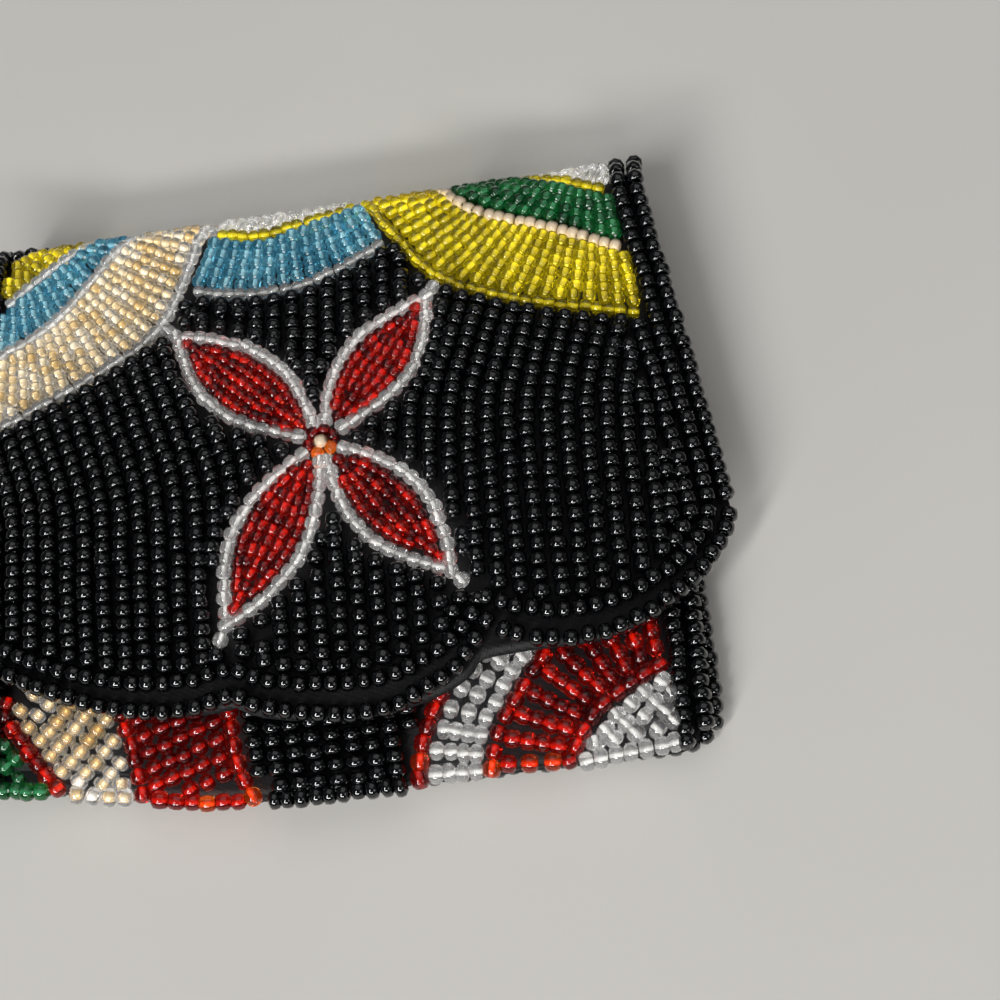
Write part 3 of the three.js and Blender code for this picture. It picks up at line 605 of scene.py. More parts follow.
def set_inputs(node, values):
    for name, value in values.items():
        node.inputs[name].default_value = value


def grain(tree, scale):
    """Uneven grain fixed to the object, finer at a larger scale."""
    place = add_node(tree, "ShaderNodeTexCoord")
    spots = add_node(tree, "ShaderNodeTexNoise")
    set_inputs(spots, {"Scale": scale, "Detail": 3.0})
    tree.links.new(place.outputs["Object"], spots.inputs["Vector"])
    return spots.outputs["Fac"]


GRAIN_LOW, GRAIN_HIGH = 0.3, 0.7


def grain_between(tree, scale, low, high):
    """The grain, spread between two values."""
    spread = add_node(tree, "ShaderNodeMapRange")
    set_inputs(spread, {"From Min": GRAIN_LOW, "From Max": GRAIN_HIGH, "To Min": low,
                        "To Max": high})
    tree.links.new(grain(tree, scale), spread.inputs["Value"])
    return spread.outputs["Result"]


def mottle(tree, shader, scale, tint, dark, light, low=0, high=1):
    """Colour that runs with the grain from a darker to a lighter share of a tint."""
    shade = add_node(tree, "ShaderNodeMix", data_type="RGBA")
    set_inputs(shade, {side: (*(min(share * part, 1) for part in tint), 1)
                       for side, share in (("A", dark), ("B", light))})
    tree.links.new(grain_between(tree, scale, low, high), shade.inputs["Factor"])
    tree.links.new(shade.outputs["Result"], shader.inputs["Base Color"])


def roughen(tree, shader, scale, low, high):
    tree.links.new(grain_between(tree, scale, low, high), shader.inputs["Roughness"])


def add_bump(tree, shader, source, strength, depth):
    bump = add_node(tree, "ShaderNodeBump")
    set_inputs(bump, {"Strength": strength, "Distance": depth * MM})
    tree.links.new(source, bump.inputs["Height"])
    tree.links.new(bump.outputs["Normal"], shader.inputs["Normal"])


# A bead's tone runs from its deep to its bright colour, and past that into a painted glow, where
# light would shine through it.
FULL_TONE = 0.8


def bead_tones(tree, shader, deep, bright, glow):
    """Colour that differs from bead to bead."""
    tone = add_node(tree, "ShaderNodeAttribute", attribute_name="tone")
    shade = add_node(tree, "ShaderNodeValToRGB")
    stops = shade.color_ramp.elements
    stops[0].color, stops[1].color = (*deep, 1), (*(glow or bright), 1)
    stops.new(FULL_TONE).color = (*bright, 1)
    tree.links.new(tone.outputs["Fac"], shade.inputs["Fac"])
    tree.links.new(shade.outputs["Color"], shader.inputs["Base Color"])


def glass(name, deep, bright, clearness, gloss=(0.04, 0.12), coat=0.0, glow=None):
    """Bead glass whose colour differs from bead to bead."""
    material, tree, shader = new_material(name)
    bead_tones(tree, shader, deep, bright, glow)
    roughen(tree, shader, 900.0, *gloss)
    set_inputs(shader, {"Transmission Weight": clearness, "IOR": 1.52, "Coat Weight": coat,
                        "Coat Roughness": 0.05})
    add_bump(tree, shader, grain(tree, 1400.0), strength=0.12, depth=0.02)
    return material


def core(name, deep, bright, metal=0.0, roughness=0.5, glow=None):
    """What is seen in the hole of a bead: its thread or its lining."""
    material, tree, shader = new_material(name)
    bead_tones(tree, shader, deep, bright, glow)
    set_inputs(shader, {"Metallic": metal})
    roughen(tree, shader, 2500.0, low=0.8 * roughness, high=1.2 * roughness)
    return material


# The satin's twill: its slope, its width in threads, and its height beside the warp.
TWILL_SLOPE, TWILL_WIDTH, TWILL_HEIGHT = 0.4, 3.2, 0.5


def woven(name, tint, thread, sheen, roughness):
    """Satin: fine warp floats with a slight twill, and a soft lustre."""
    material, tree, shader = new_material(name)
    flat = add_node(tree, "ShaderNodeUVMap", uv_map="flat")
    parts = add_node(tree, "ShaderNodeSeparateXYZ")
    tree.links.new(flat.outputs["UV"], parts.inputs["Vector"])
    across, along = parts.outputs["X"], parts.outputs["Y"]

    def reckon(operation, *values):
        """What comes of sockets and plain numbers by one operation."""
        node = add_node(tree, "ShaderNodeMath", operation=operation)
        for socket, value in zip(node.inputs, values):
            if isinstance(value, float):
                socket.default_value = value
            else:
                tree.links.new(value, socket)
        return node.outputs[0]

    def waves(source, period):
        return reckon("SINE", reckon("MULTIPLY", source, 2 * math.pi * UV_SPAN / period))

    twill = waves(reckon("MULTIPLY_ADD", across, TWILL_SLOPE, along), TWILL_WIDTH * thread)
    weave = reckon("MULTIPLY_ADD", twill, TWILL_HEIGHT, waves(across, thread))
    height = reckon("ADD", weave, grain_between(tree, 1500.0, low=0, high=1.6))

    mottle(tree, shader, 160.0, tint, dark=0.6, light=1.7, low=0.1, high=0.9)
    roughen(tree, shader, 420.0, low=0.85 * roughness, high=1.15 * roughness)
    set_inputs(shader, {"Sheen Weight": sheen, "Sheen Roughness": 0.35,
                        "Specular IOR Level": 0.22})
    add_bump(tree, shader, height, strength=0.35, depth=0.03)
    return material


def hemmed(name, tint):
    """The edge of the cloth: the same tint without its lustre, a little rubbed."""
    material, tree, shader = new_material(name)
    mottle(tree, shader, 700.0, tint, dark=0.8, light=2.6)
    roughen(tree, shader, 1600.0, low=0.5, high=0.75)
    set_inputs(shader, {"Specular IOR Level": 0.2})
    add_bump(tree, shader, grain(tree, 2600.0), strength=0.4, depth=0.04)
    return material


def plated(name, tint):
    """Plated metal, dulled by handling."""
    material, tree, shader = new_material(name)
    mottle(tree, shader, 500.0, tint, dark=0.55, light=1.0)
    roughen(tree, shader, 900.0, low=0.22, high=0.42)
    set_inputs(shader, {"Metallic": 1.0})
    add_bump(tree, shader, grain(tree, 2600.0), strength=0.1, depth=0.02)
    return material


def finish(colours, name):
    """The material of this name, made when it is first asked for."""
    made = bpy.data.materials.get(name)
    if made:
        return made
    recipes = {
        "black_satin": lambda: woven(name, colours.satin, thread=0.17, sheen=0.06,
                                     roughness=0.44),
        "satin_hem": lambda: hemmed(name, colours.satin),
        "lining_hem": lambda: hemmed(name, colours.lining),
        "lining_cloth": lambda: woven(name, colours.lining, thread=0.26, sheen=0.03,
                                      roughness=0.6),
        "stud_metal": lambda: plated(name, colours.metal),
        "black_glass": lambda: glass(name, colours.black, 1.6 * Vector(colours.black),
                                     clearness=0.0, gloss=(0.03, 0.07), coat=0.55),
        "red_glass": lambda: glass(name, colours.red_deep, colours.red_bright, clearness=0.9,
                                   coat=0.15, glow=colours.red_glow),
        "orange_glass": lambda: glass(name, 0.7 * Vector(colours.orange), colours.orange,
                                      clearness=0.6, coat=0.4),
        "clear_glass": lambda: glass(name, 0.85 * Vector(colours.clear), colours.clear,
                                     clearness=0.89, coat=0.5),
        "gold_lined_glass": lambda: glass(name, colours.champagne, colours.clear,
                                          clearness=0.9, coat=0.9),
        "yellow_glass": lambda: glass(name, colours.yellow_deep, colours.yellow_bright,
                                      clearness=0.84, coat=0.4),
        "green_glass": lambda: glass(name, colours.green_deep, colours.green_bright,
                                     clearness=0.65, coat=0.4),
        "blue_glass": lambda: glass(name, colours.blue_deep, colours.blue_bright, clearness=0.88,
                                    coat=0.3),
        "cream_pearl": lambda: glass(name, 0.85 * Vector(colours.cream), colours.cream,
                                     clearness=0.1, gloss=(0.15, 0.28), coat=0.6),
        "thread_core": lambda: core(name, 0.72 * Vector(colours.thread), colours.thread),
        "red_core": lambda: core(name, colours.red_core_deep, colours.red_core,
                                 glow=colours.red_glow),
        "yellow_core": lambda: core(name, 0.72 * Vector(colours.yellow_core), colours.yellow_core),
        # Low on the front the gold lining runs to the clear glass colour, a painted glow of daylight
        # through the beads.
        "gold_core": lambda: core(name, colours.gold_deep, colours.gold, metal=0.3,
                                  roughness=0.35, glow=colours.clear),
        "pale_gold_core": lambda: core(name, colours.pale_gold_deep, colours.pale_gold, metal=0.2,
                                       roughness=0.35),
    }
    return recipes[name]()


# Making pieces.

def settle(piece, node=None):
    """Fix a piece to the purse, in place of its solid where it has one."""
    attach(piece, "root")
    if node:
        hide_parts(node)


def new_piece(context, name, shape, *materials):
    """An object at the origin from a finished bmesh."""
    mesh = bpy.data.meshes.new(name)
    shape.to_mesh(mesh)
    shape.free()
    for material in materials:
        mesh.materials.append(material)
    piece = bpy.data.objects.new(name, mesh)
    context.scene.collection.objects.link(piece)
    return piece


def spun(profile, axis, steps, merge):
    """A closed profile spun once round an axis."""
    shape = bmesh.new()
    corners = [shape.verts.new(place) for place in profile]
    for here, there in zip(corners, corners[1:] + corners[:1]):
        shape.edges.new((here, there))
    bmesh.ops.spin(shape, geom=shape.verts[:] + shape.edges[:], cent=(0, 0, 0), axis=axis,
                   angle=2 * math.pi, steps=steps, use_merge=True)
    bmesh.ops.remove_doubles(shape, verts=shape.verts[:], dist=merge)
    return shape


BEAD_SIDES = 8
# A bead's hole by what fills it: its width, and the length of the filling seen in it.
HOLES = {"thread_core": (0.19, 0.62), "gold_core": (0.36, 0.42), "pale_gold_core": (0.3, 0.5)}
PLAIN_HOLE = (0.24, 0.62)
# Where a bead's wall turns, as shares of half its length and of its radius.
SHOULDER, RIM = (0.62, 0.92), 0.58
HOLE_WALL = 1.2


def bead_shape(diameter, length, hole_wide, hole_long):
    """One round bead on the x axis: a rounded wall spun about its hole."""
    half, radius = length / 2, diameter / 2
    hole, filled = hole_wide * radius, hole_long * half
    wall = ((0, radius), (SHOULDER[0] * half, SHOULDER[1] * radius), (half, RIM * radius),
            (filled, hole), (-filled, hole), (-half, RIM * radius),
            (-SHOULDER[0] * half, SHOULDER[1] * radius))
    shape = spun([(along, 0, out) for along, out in wall], (1, 0, 0), BEAD_SIDES, length / 1000)
    bmesh.ops.recalc_face_normals(shape, faces=shape.faces[:])
    for face in shape.faces:
        face.smooth = True
        face.material_index = int(
            all(math.hypot(corner.co.y, corner.co.z) < HOLE_WALL * hole
                for corner in face.verts))
    mesh = bpy.data.meshes.new("bead")
    shape.to_mesh(mesh)
    shape.free()
    return mesh


class BeadSize:
    """Diameter, length and pitch of a bead, in millimetres."""

    def __init__(self, diameter, length, pitch):
        self.diameter, self.length, self.pitch = diameter, length, pitch


def bead_size(sizes, kind):
    """The size of one of the kinds of bead."""
    pitch = millimetres(sizes, f"{kind}_pitch")
    return BeadSize(millimetres(sizes, f"{kind}_bead"), sizes.closeness * pitch, pitch)


# The glass of a bead, what its hole shows and the name of its finish, by its look.
LOOKS = {
    "black": ("black_glass", "black_glass", "black_beads"),
    "red": ("red_glass", "red_core", "red_beads"),
    "orange": ("orange_glass", "red_core", "red_beads"),
    "clear": ("clear_glass", "thread_core", "clear_beads"),
    "gold": ("gold_lined_glass", "gold_core", "gold_lined_beads"),
    "pale_gold": ("gold_lined_glass", "pale_gold_core", "gold_lined_beads"),
    "yellow": ("yellow_glass", "yellow_core", "yellow_beads"),
    "green": ("green_glass", "thread_core", "green_beads"),
    "blue": ("blue_glass", "thread_core", "blue_beads"),
    "cream": ("cream_pearl", "thread_core", "cream_beads"),
}
OPAQUE = ("black_glass", "cream_pearl")
SEAT = 0.05

# How far hand-sewn beads stray: in place and height, in tilt, and in thickness and length.
STRAY, RISE_STRAY = 0.07, 0.04
TILT, TURN = 0.07, 0.09
STOUT_SPREAD, LONG_SPREAD = 0.035, 0.05
LEAST_STRETCH, MOST_STRETCH = 0.9, 1.25
HEADING_STEP = 0.05
LEAST_GLOW = 0.2


def sewn_at(place, way, skin, height, chance, uneven):
    """The matrix of one bead: turned to the cloth and along its thread, a little astray."""
    side = Vector((-way.y, way.x))
    place = (place + side * chance.gauss(0, STRAY * uneven)
             + way * chance.gauss(0, STRAY * uneven))
    up = facing(skin, *place)
    step = way * HEADING_STEP
    axis = lifted(skin, *(place + step), height) - lifted(skin, *(place - step), height)
    stretch = min(max(axis.length / (2 * step.length), LEAST_STRETCH), MOST_STRETCH)
    axis.normalize()
    across = up.cross(axis).normalized()
    turn = Matrix((axis, across, axis.cross(across))).transposed()
    tilt = Euler((chance.uniform(0, math.tau), chance.gauss(0, TILT * uneven),
                  chance.gauss(0, TURN * uneven))).to_matrix()
    stout = 1 + chance.gauss(0, STOUT_SPREAD * uneven)
    long = stretch + chance.gauss(0, LONG_SPREAD * uneven)
    centre = in_frame(lifted(skin, *place, height + chance.gauss(0, RISE_STRAY * uneven)))
    return (Matrix.Translation(centre) @ (turn @ tilt).to_4x4()
            @ Matrix.Diagonal((long, stout, stout, 1)))


def string_beads(context, node, beads, size, skin, look, name=None, lift=None, glow=0.0,
                 full_tone=FULL_TONE):
    """Sew beads down on the cloth as one piece; those below a height get a painted glow."""
    name = name or f"{node}_beads"
    if not beads:
        raise RuntimeError(f"no beads for {name}")
    shell, inner, slot = LOOKS[look]
    chance = random.Random(f"{SEED} {name}")
    uneven = context.scene.purse_sizes.unevenness
    template = bead_shape(size.diameter * MM, size.length * MM,
                          *HOLES.get(inner, PLAIN_HOLE))
    height = size.diameter / 2 + SEAT if lift is None else lift
    shape = bmesh.new()
    for place, way in beads:
        bead = template.copy()
        bead.transform(sewn_at(place, way, skin, height, chance, uneven))
        shape.from_mesh(bead)
        bpy.data.meshes.remove(bead)
    piece = new_piece(context, name, shape, *(finish(context.scene.purse_colours, label)
                                              for label in (shell, inner)))
    tone = piece.data.attributes.new("tone", "FLOAT", "POINT")
    tones = []
    for place, _ in beads:
        lit = chance.uniform(LEAST_GLOW, 1) * min(max(1 - place.y / glow, 0), 1) if glow else 0
        tones += [full_tone * chance.random() * (1 - lit) + lit] * len(template.vertices)
    tone.data.foreach_set("value", tones)
    bpy.data.meshes.remove(template)
    if shell not in OPAQUE:
        piece.visible_shadow = False
    settle(piece, node)


# Flat millimetres that the pattern map spans, and the ripples in the cloth.
UV_SPAN = 240.0
RIPPLE_LENGTH, RIPPLE_LAYER = 6, 0.37


def lay_cloth(context, name, place_at, skin, grid, thickness, cloth, hem, ripples=0.0):
    """A sheet laid over the purse from its flat drawing, with its thickness below."""
    shape = bmesh.new()
    bmesh.ops.create_grid(shape, x_segments=grid[0], y_segments=grid[1], size=0.5)
    flat = {}
    for corner in shape.verts:
        flat[corner] = place_at(corner.co.x + 0.5, corner.co.y + 0.5)
    chart = shape.loops.layers.uv.new("flat")
    area = 0.0
    for face in shape.faces:
        face.smooth = True
        ring = [flat[corner] for corner in face.verts]
        area += abs(sum(a.cross(b) for a, b in zip(ring, ring[1:] + ring[:1]))) / 2
        for loop in face.loops:
            loop[chart].uv = flat[loop.vert] / UV_SPAN + Vector((0.5, 0.5))
    for corner, place in flat.items():
        ripple = ripples * noise.noise(
            Vector((place.x / RIPPLE_LENGTH, place.y / RIPPLE_LENGTH, RIPPLE_LAYER)))
        corner.co = in_frame(lifted(skin, *place, ripple))
    bmesh.ops.recalc_face_normals(shape, faces=shape.faces[:])
    middle = min(shape.faces, key=lambda face: face.calc_center_median().xy.length)
    if middle.normal.dot(facing(skin, *flat[middle.verts[0]])) < 0:
        bmesh.ops.reverse_faces(shape, faces=shape.faces[:])
    bmesh.ops.solidify(shape, geom=shape.faces[:], thickness=thickness * MM)
    for face in shape.faces:
        face.material_index = int(len({corner in flat for corner in face.verts}) == 2)
    colours = context.scene.purse_colours
    return (new_piece(context, name, shape, finish(colours, cloth), finish(colours, hem)),
            area * MM * MM)


class PURSE_OT_cloth(bpy.types.Operator):
    """Fold the satin into back and flap, sew on the front, and line the pouch"""

    bl_idname = "purse.cloth"
    bl_label = "Satin and Lining"

    FOLDED_GRID, FRONT_GRID, LINING_GRID = (108, 110), (72, 56), (44, 70)
    FOLDED_RIPPLE, FRONT_RIPPLE = 0.1, 0.08
    LINING_SIDE, LINING_FOOT = 2.0, 2.5

    def execute(self, context):
        sizes = context.scene.purse_sizes
        thickness = millimetres(sizes, "cloth")

        lobes = [lobe_line(lobe, CLOTH_EDGE, CLOTH_EDGE, CLOTH_NOTCHES) for lobe in (2, 1, 0)]
        tips = Line([place for lobe in lobes for place in lobe.places[::-1]])

        def folded(across, along):
            tip = tips.share(across)
            at_fold = (2 * across - 1) * FLAP_HALF
            length = FLAP_LENGTH + BACK_END
            v = along * length - FLAP_LENGTH
            if v <= 0:
                share = -v / FLAP_LENGTH
                return Vector((at_fold + (tip.x - at_fold) * share, tip.y * share))
            narrow = FLAP_HALF + (POUCH_HALF - FLAP_HALF) * min(v / FOLD_LENGTH, 1)
            foot = BACK_END - corner_cut((2 * across - 1) * narrow)
            return Vector(((2 * across - 1) * narrow, min(v, foot)))

        back, back_area = lay_cloth(
            context, "folded_satin", folded, flap_skin, self.FOLDED_GRID, thickness,
            "black_satin", "satin_hem", self.FOLDED_RIPPLE)
        settle(back, "back_and_flap_cloth")

        def fronted(across, along):
            x = (2 * across - 1) * POUCH_HALF
            low = corner_cut(x)
            return Vector((x, low + (MOUTH_Y - low) * along))

        front, front_area = lay_cloth(
            context, "front_satin", fronted, front_skin, self.FRONT_GRID, thickness,
            "black_satin", "satin_hem", self.FRONT_RIPPLE)
        settle(front, "front_cloth")
        self.line_pouch(context, thickness, millimetres(sizes, "lining"))
        return {"FINISHED"}

    def line_pouch(self, context, outer, thickness):
        """Lay the lining up the front and back down the floor of the pouch."""
        half, foot = POUCH_HALF - self.LINING_SIDE, self.LINING_FOOT
        floor = BACK_Z + outer + GAP + thickness

        def doubled(across, along):
            return Vector(((2 * across - 1) * half, (2 * along - 1) * (MOUTH_Y - foot)))

        def bag_skin(x, down):
            if down < 0:
                return settled(x, foot - down, floor)
            low = floor + 2 * thickness
            return settled(x, foot + down, max(front_skin(x, foot + down).z - outer - GAP, low))

        lining, area = lay_cloth(
            context, "pouch_lining", doubled, bag_skin, self.LINING_GRID, thickness,
            "lining_cloth", "lining_hem")
        settle(lining, "lining")


class PURSE_OT_press_stud(bpy.types.Operator):
    """Turn the two halves of the press stud that holds the flap down"""

    bl_idname = "purse.press_stud"
    bl_label = "Press Stud"

    SIDES, MERGE = 40, 0.001

    def execute(self, context):
        metal = finish(context.scene.purse_colours, "stud_metal")
        for name, wall in STUD_HALVES.items():
            shape = spun([(out, 0, rise) for out, rise in wall], (0, 0, 1), self.SIDES, self.MERGE)
            for corner in shape.verts:
                across, up, height = corner.co + Vector((*STUD_PLACE, 0))
                corner.co = in_frame(lifted(front_skin, across, up, height))
            bmesh.ops.recalc_face_normals(shape, faces=shape.faces[:])
            for face in shape.faces:
                face.smooth = True
            settle(new_piece(context, f"{name}_ring", shape, metal), name)
        return {"FINISHED"}


class PURSE_OT_black_ground(bpy.types.Operator):
    """Fill the flap with threads of black beads round the flower"""

    bl_idname = "purse.black_ground"
    bl_label = "Black Ground"

    LEAN = 0.34
    LEFT_BEND, RIGHT_BEND = -37.0, -30.0
    THREAD_STEPS = 60
    SWAY = 0.5
    HEM_PITCH = 1.08
    # Shares of the full distance that beads keep from each other and from the borders.
    THREAD_ROOM, FILLER_ROOM, COLUMN_ROOM, BAND_ROOM = 0.88, 0.76, 0.9, 0.3
    FILLER_GAP, CORNER_GAP = 0.72, 0.8

    def execute(self, context):
        sizes = context.scene.purse_sizes
        full, fine = bead_size(sizes, "ground"), bead_size(sizes, "fine")
        lines = flap_lines()
        hems = [lobe_line(lobe, SIDE_COLUMN, HEM) for lobe in range(3)]
        columns = {sign: side_line(sign, SIDE_COLUMN, BAND_TOP, FLAP_SIDE.y) for sign in (-1, 1)}
        inner = [side_line(sign, INNER_COLUMN, BAND_TOP, FLAP_SIDE.y - HEM) for sign in (-1, 1)]
        open_ground, last_gaps = self.ground_tests(sizes, lines, hems, columns)

        borders = [bead for hem in hems
                   for bead in hem.beads(self.HEM_PITCH * full.pitch, trim=full.diameter / 5)]
        for side in columns.values():
            borders += side.beads(full.pitch)
        for side in inner:
            borders += fitted(side, full.pitch, open_ground)
        off_inner = keep_off(inner, self.COLUMN_ROOM * full.diameter)
        chance = random.Random(f"{SEED} threads")
        beads = {}
        for part, threads in self.threads(millimetres(sizes, "column")).items():
            beads[part] = []
            for thread in threads:
                beads[part] += fitted(thread, full.pitch, lambda place: (
                    self.part_of(place) == part and off_inner(place) and open_ground(place)),
                    sway=chance.uniform(-self.SWAY, self.SWAY))
        threaded = [bead for part in beads.values() for bead in part] + borders
        for bead in gap_fillers(threaded, last_gaps, Vector((-FLAP_SIDE.x, -FLAP_LENGTH)),
                                Vector((FLAP_SIDE.x, BAND_TOP)),
                                self.FILLER_GAP * full.diameter):
            beads[self.part_of(bead[0])].append(bead)
        string_beads(context, "black_ground",
                     beads["left"] + beads["right"] + beads["lower"] + borders, full, flap_skin,
                     "black")
        corners = self.corner_beads(full, fine, lines, columns)
        string_beads(context, "black_ground_upper", beads["upper"] + corners, full, flap_skin,
                     "black")
        return {"FINISHED"}

    def ground_tests(self, sizes, lines, hems, columns):
        """Tests that a place is free for a bead of a thread, and for a bead that fills a gap."""
        full, fine, outline = (bead_size(sizes, kind) for kind in ("ground", "fine", "outline"))
        rims = [lines[name] for name in ("gold_lower", "arc_lower", "yellow_lower")]
        petals = [[petal_side(name, sign) for sign in (-1, 1)] for name in PETALS]
        rings = [left.places + right.places[::-1] for left, right in petals]
        stems = [Line((tip, petal_stem(name, outline.pitch)[0]))
                 for name, (tip, _) in PETALS.items()]
        ground = lines["gold_lower"].places + columns[-1].places[-1:]
        for hem in reversed(hems):
            ground = ground + hem.places[::-1]
        ground = ground + columns[1].places[-1:] + lines["yellow_lower"].places[::-1]
        arc = (lines["arc_lower"].places + lines["yellow_lower"].places[:1]
               + lines["gold_lower"].places[:1])

        def ground_test(close):
            """A test that holds a place to a share of the full distances."""
            by_fine = close * (full.diameter + fine.diameter) / 2
            off_borders = keep_off(hems + list(columns.values()), close * full.diameter)
            off_rims = keep_off(rims, by_fine)
            off_petals = keep_off(stems + [side for petal in petals for side in petal],
                                  close * (full.diameter + outline.diameter) / 2)
            return lambda place: (
                inside(place, ground) and not inside(place, arc) and off_borders(place)
                and off_rims(place) and off_petals(place)
                and (place - FLOWER).length > FLOWER_EYE + by_fine
                and not any(inside(place, ring) for ring in rings))

        return [ground_test(close) for close in (self.THREAD_ROOM, self.FILLER_ROOM)]

    def corner_beads(self, full, fine, lines, columns):
        """Beads in the two corners between the outermost bands and the sides."""
        beads = []
        for sign, name in ((-1, "corner_left"), (1, "corner_right")):
            line, side = lines[name], columns[sign]
            ring = line.places + [side.at(BAND_TOP - line.places[-1].y)[0], side.places[0]]
            off_column = keep_off([side], self.COLUMN_ROOM * full.diameter)
            off_band = keep_off([line], self.BAND_ROOM * fine.diameter)
            beads += gap_fillers([], lambda place: (
                inside(place, ring) and off_column(place) and off_band(place)),
                *corners_of(ring), self.CORNER_GAP * full.diameter)
        return beads

    def threads(self, column):
        """The threads on each side of the petals, drawn over the whole flap."""
        count = int(FLAP_SIDE.x / column) + 2
        starts = [FLOWER.x + (k + 0.5) * column for k in range(-count, count + 1)]
        top, foot = BAND_TOP, -FLAP_LENGTH
        drawn = {
            "left": (-self.LEAN, self.LEFT_BEND, top, foot),
            "upper": (0, 0, top, FLOWER.y),
            "right": (self.LEAN, self.RIGHT_BEND, top, foot),
            "lower": (0, 0, FLOWER.y, foot),
        }
        return {part: [self.thread(start, *shape) for start in starts]
                for part, shape in drawn.items()}

    def thread(self, start, lean, bend, top, foot):
        """A thread that leans out above the bend and hangs straight below it."""
        heights = [top + (foot - top) * k / self.THREAD_STEPS
                   for k in range(self.THREAD_STEPS + 1)]
        return Line([(start + lean * ramp(v - bend), v) for v in heights])

    def part_of(self, place):
        """Which side of the petals a place is on."""
        upper = place.y > FLOWER.y
        left = PETALS["upper_left" if upper else "lower_left"][0]
        right = PETALS["upper_right" if upper else "lower_right"][0]
        for tip, name, sign in ((left, "left", -1), (right, "right", 1)):
            share = min(max((place.y - FLOWER.y) / (tip.y - FLOWER.y), 0), 1)
            if sign * (place.x - FLOWER.x - share * (tip.x - FLOWER.x)) > 0:
                return name
        return "upper" if upper else "lower"


class PURSE_OT_bands(bpy.types.Operator):
    """String the coloured bands and their rims along the fold"""

    bl_idname = "purse.bands"
    bl_label = "Coloured Bands"

    # Each band's lower and upper line and its look, and each rim's line and its look.
    FILLS = {
        "gold_band": ("gold_lower", "gold_upper", "pale_gold"),
        "left_blue_band": ("gold_upper", "blue_outer", "blue"),
        "left_yellow_band": ("blue_outer", "corner_left", "yellow"),
        "blue_arc": ("arc_lower", "arc_top", "blue"),
        "clear_rows_behind_arc": ("arc_top", "arc_rear", "clear"),
        "yellow_band": ("yellow_lower", "cream", "yellow"),
        "green_band": ("cream", "green_top", "green"),
        "clear_corner": ("green_top", "corner_right", "clear"),
    }
    RIMS = {
        "gold_band_lower_rim": ("gold_lower", "clear"),
        "gold_band_upper_rim": ("gold_upper", "clear"),
        "left_blue_band_rim": ("blue_outer", "clear"),
        "blue_arc_yellow_rim": ("arc_top", "yellow"),
        "blue_arc_clear_rim": ("arc_lower", "clear"),
        "yellow_band_rim": ("yellow_lower", "yellow"),
        "cream_line": ("cream", "cream"),
        "green_band_yellow_rim": ("green_top", "yellow"),
    }
    STOUT = 1.15
    RIB_MARGIN, RIM_ROOM = 0.92, 0.86
    CROWDED, FILLER_GAP = 0.6, 0.76

    def execute(self, context):
        sizes = context.scene.purse_sizes
        fine = bead_size(sizes, "fine")
        filling = BeadSize(self.STOUT * fine.diameter, fine.length, fine.pitch)
        lines = flap_lines()
        for node, (lower, upper, look) in self.FILLS.items():
            lower, upper = lines[lower], lines[upper]
            count = round(max(lower.length, upper.length) / millimetres(sizes, "rib"))
            beads = ribs(lower, upper, count, filling.pitch, self.RIB_MARGIN * fine.diameter)
            beads = spread_out(beads, self.CROWDED * filling.diameter)
            ring = lower.places + upper.places[::-1]
            off_rims = keep_off([lower, upper], self.RIM_ROOM * fine.diameter)
            beads += gap_fillers(
                beads, lambda place: inside(place, ring) and off_rims(place), *corners_of(ring),
                self.FILLER_GAP * filling.diameter)
            string_beads(context, node, beads, filling, flap_skin, look)
        for node, (line, look) in self.RIMS.items():
            beads = lines[line].beads(fine.pitch, trim=fine.diameter / 3)
            string_beads(context, node, beads, fine, flap_skin, look)
        return {"FINISHED"}


class PURSE_OT_flower(bpy.types.Operator):
    """Sew the four red petals, their clear outlines and the flower's middle"""

    bl_idname = "purse.flower"
    bl_label = "Flower"

    STOUT = 1.1
    STEM_PITCH = 0.95
    OUTLINE_CROWDED, ROW_CROWDED = 0.7, 0.6
    ROW_TRIM = 0.4
    RING_COUNT, RING_START = 6, 0.25

    def execute(self, context):
        sizes = context.scene.purse_sizes
        fine, clear = bead_size(sizes, "fine"), bead_size(sizes, "outline")
        filling = BeadSize(self.STOUT * fine.diameter, fine.length, fine.pitch)
        for name in PETALS:
            left, right = petal_side(name, 1), petal_side(name, -1)
            count = round(left.length / clear.pitch)
            outline = [side.at(left.length * k / count)
                       for k in range(count, -1, -1) for side in (left, right)]
            outline.append(petal_stem(name, self.STEM_PITCH * clear.pitch))
            outline = spread_out(outline, self.OUTLINE_CROWDED * clear.diameter)
            string_beads(context, f"petal_{name}_outline", outline, clear, flap_skin, "clear")
            half = petal_axis(name)[2] - clear.diameter / 2
            rows = max(3, round(2 * half / millimetres(sizes, "petal_row")))
            beads = []
            for row in sorted(range(rows), key=lambda k: abs(k - (rows - 1) / 2)):
                share = (2 * row + 1) / rows - 1
                line = petal_side(name, share, clear.diameter / 2)
                beads += line.beads(fine.pitch, trim=self.ROW_TRIM)
            beads = spread_out(beads, self.ROW_CROWDED * fine.diameter)
            string_beads(context, f"petal_{name}", beads, filling, flap_skin, "red")
        self.sew_middle(context, fine)
        return {"FINISHED"}

    def sew_middle(self, context, size):
        """A pale bead in the middle, orange beads below it and red ones round them."""
        ring = []
        for k in range(self.RING_COUNT):
            turn = math.tau * (k + self.RING_START) / self.RING_COUNT
            way = Vector((-math.sin(turn), math.cos(turn)))
            ring.append((FLOWER + FLOWER_EYE * Vector((math.cos(turn), math.sin(turn))), way))
        below = sorted(ring, key=lambda bead: bead[0].y)[:2]
        red = [bead for bead in ring if bead not in below]
        middle = [(FLOWER, Vector((1, 0)))]
        for node, part, beads, look in (("flower_middle", "ring", red, "red"),
                                        (None, "orange", below, "orange"),
                                        (None, "pale", middle, "cream")):
            string_beads(context, node, beads, size, flap_skin, look, name=f"flower_middle_{part}")


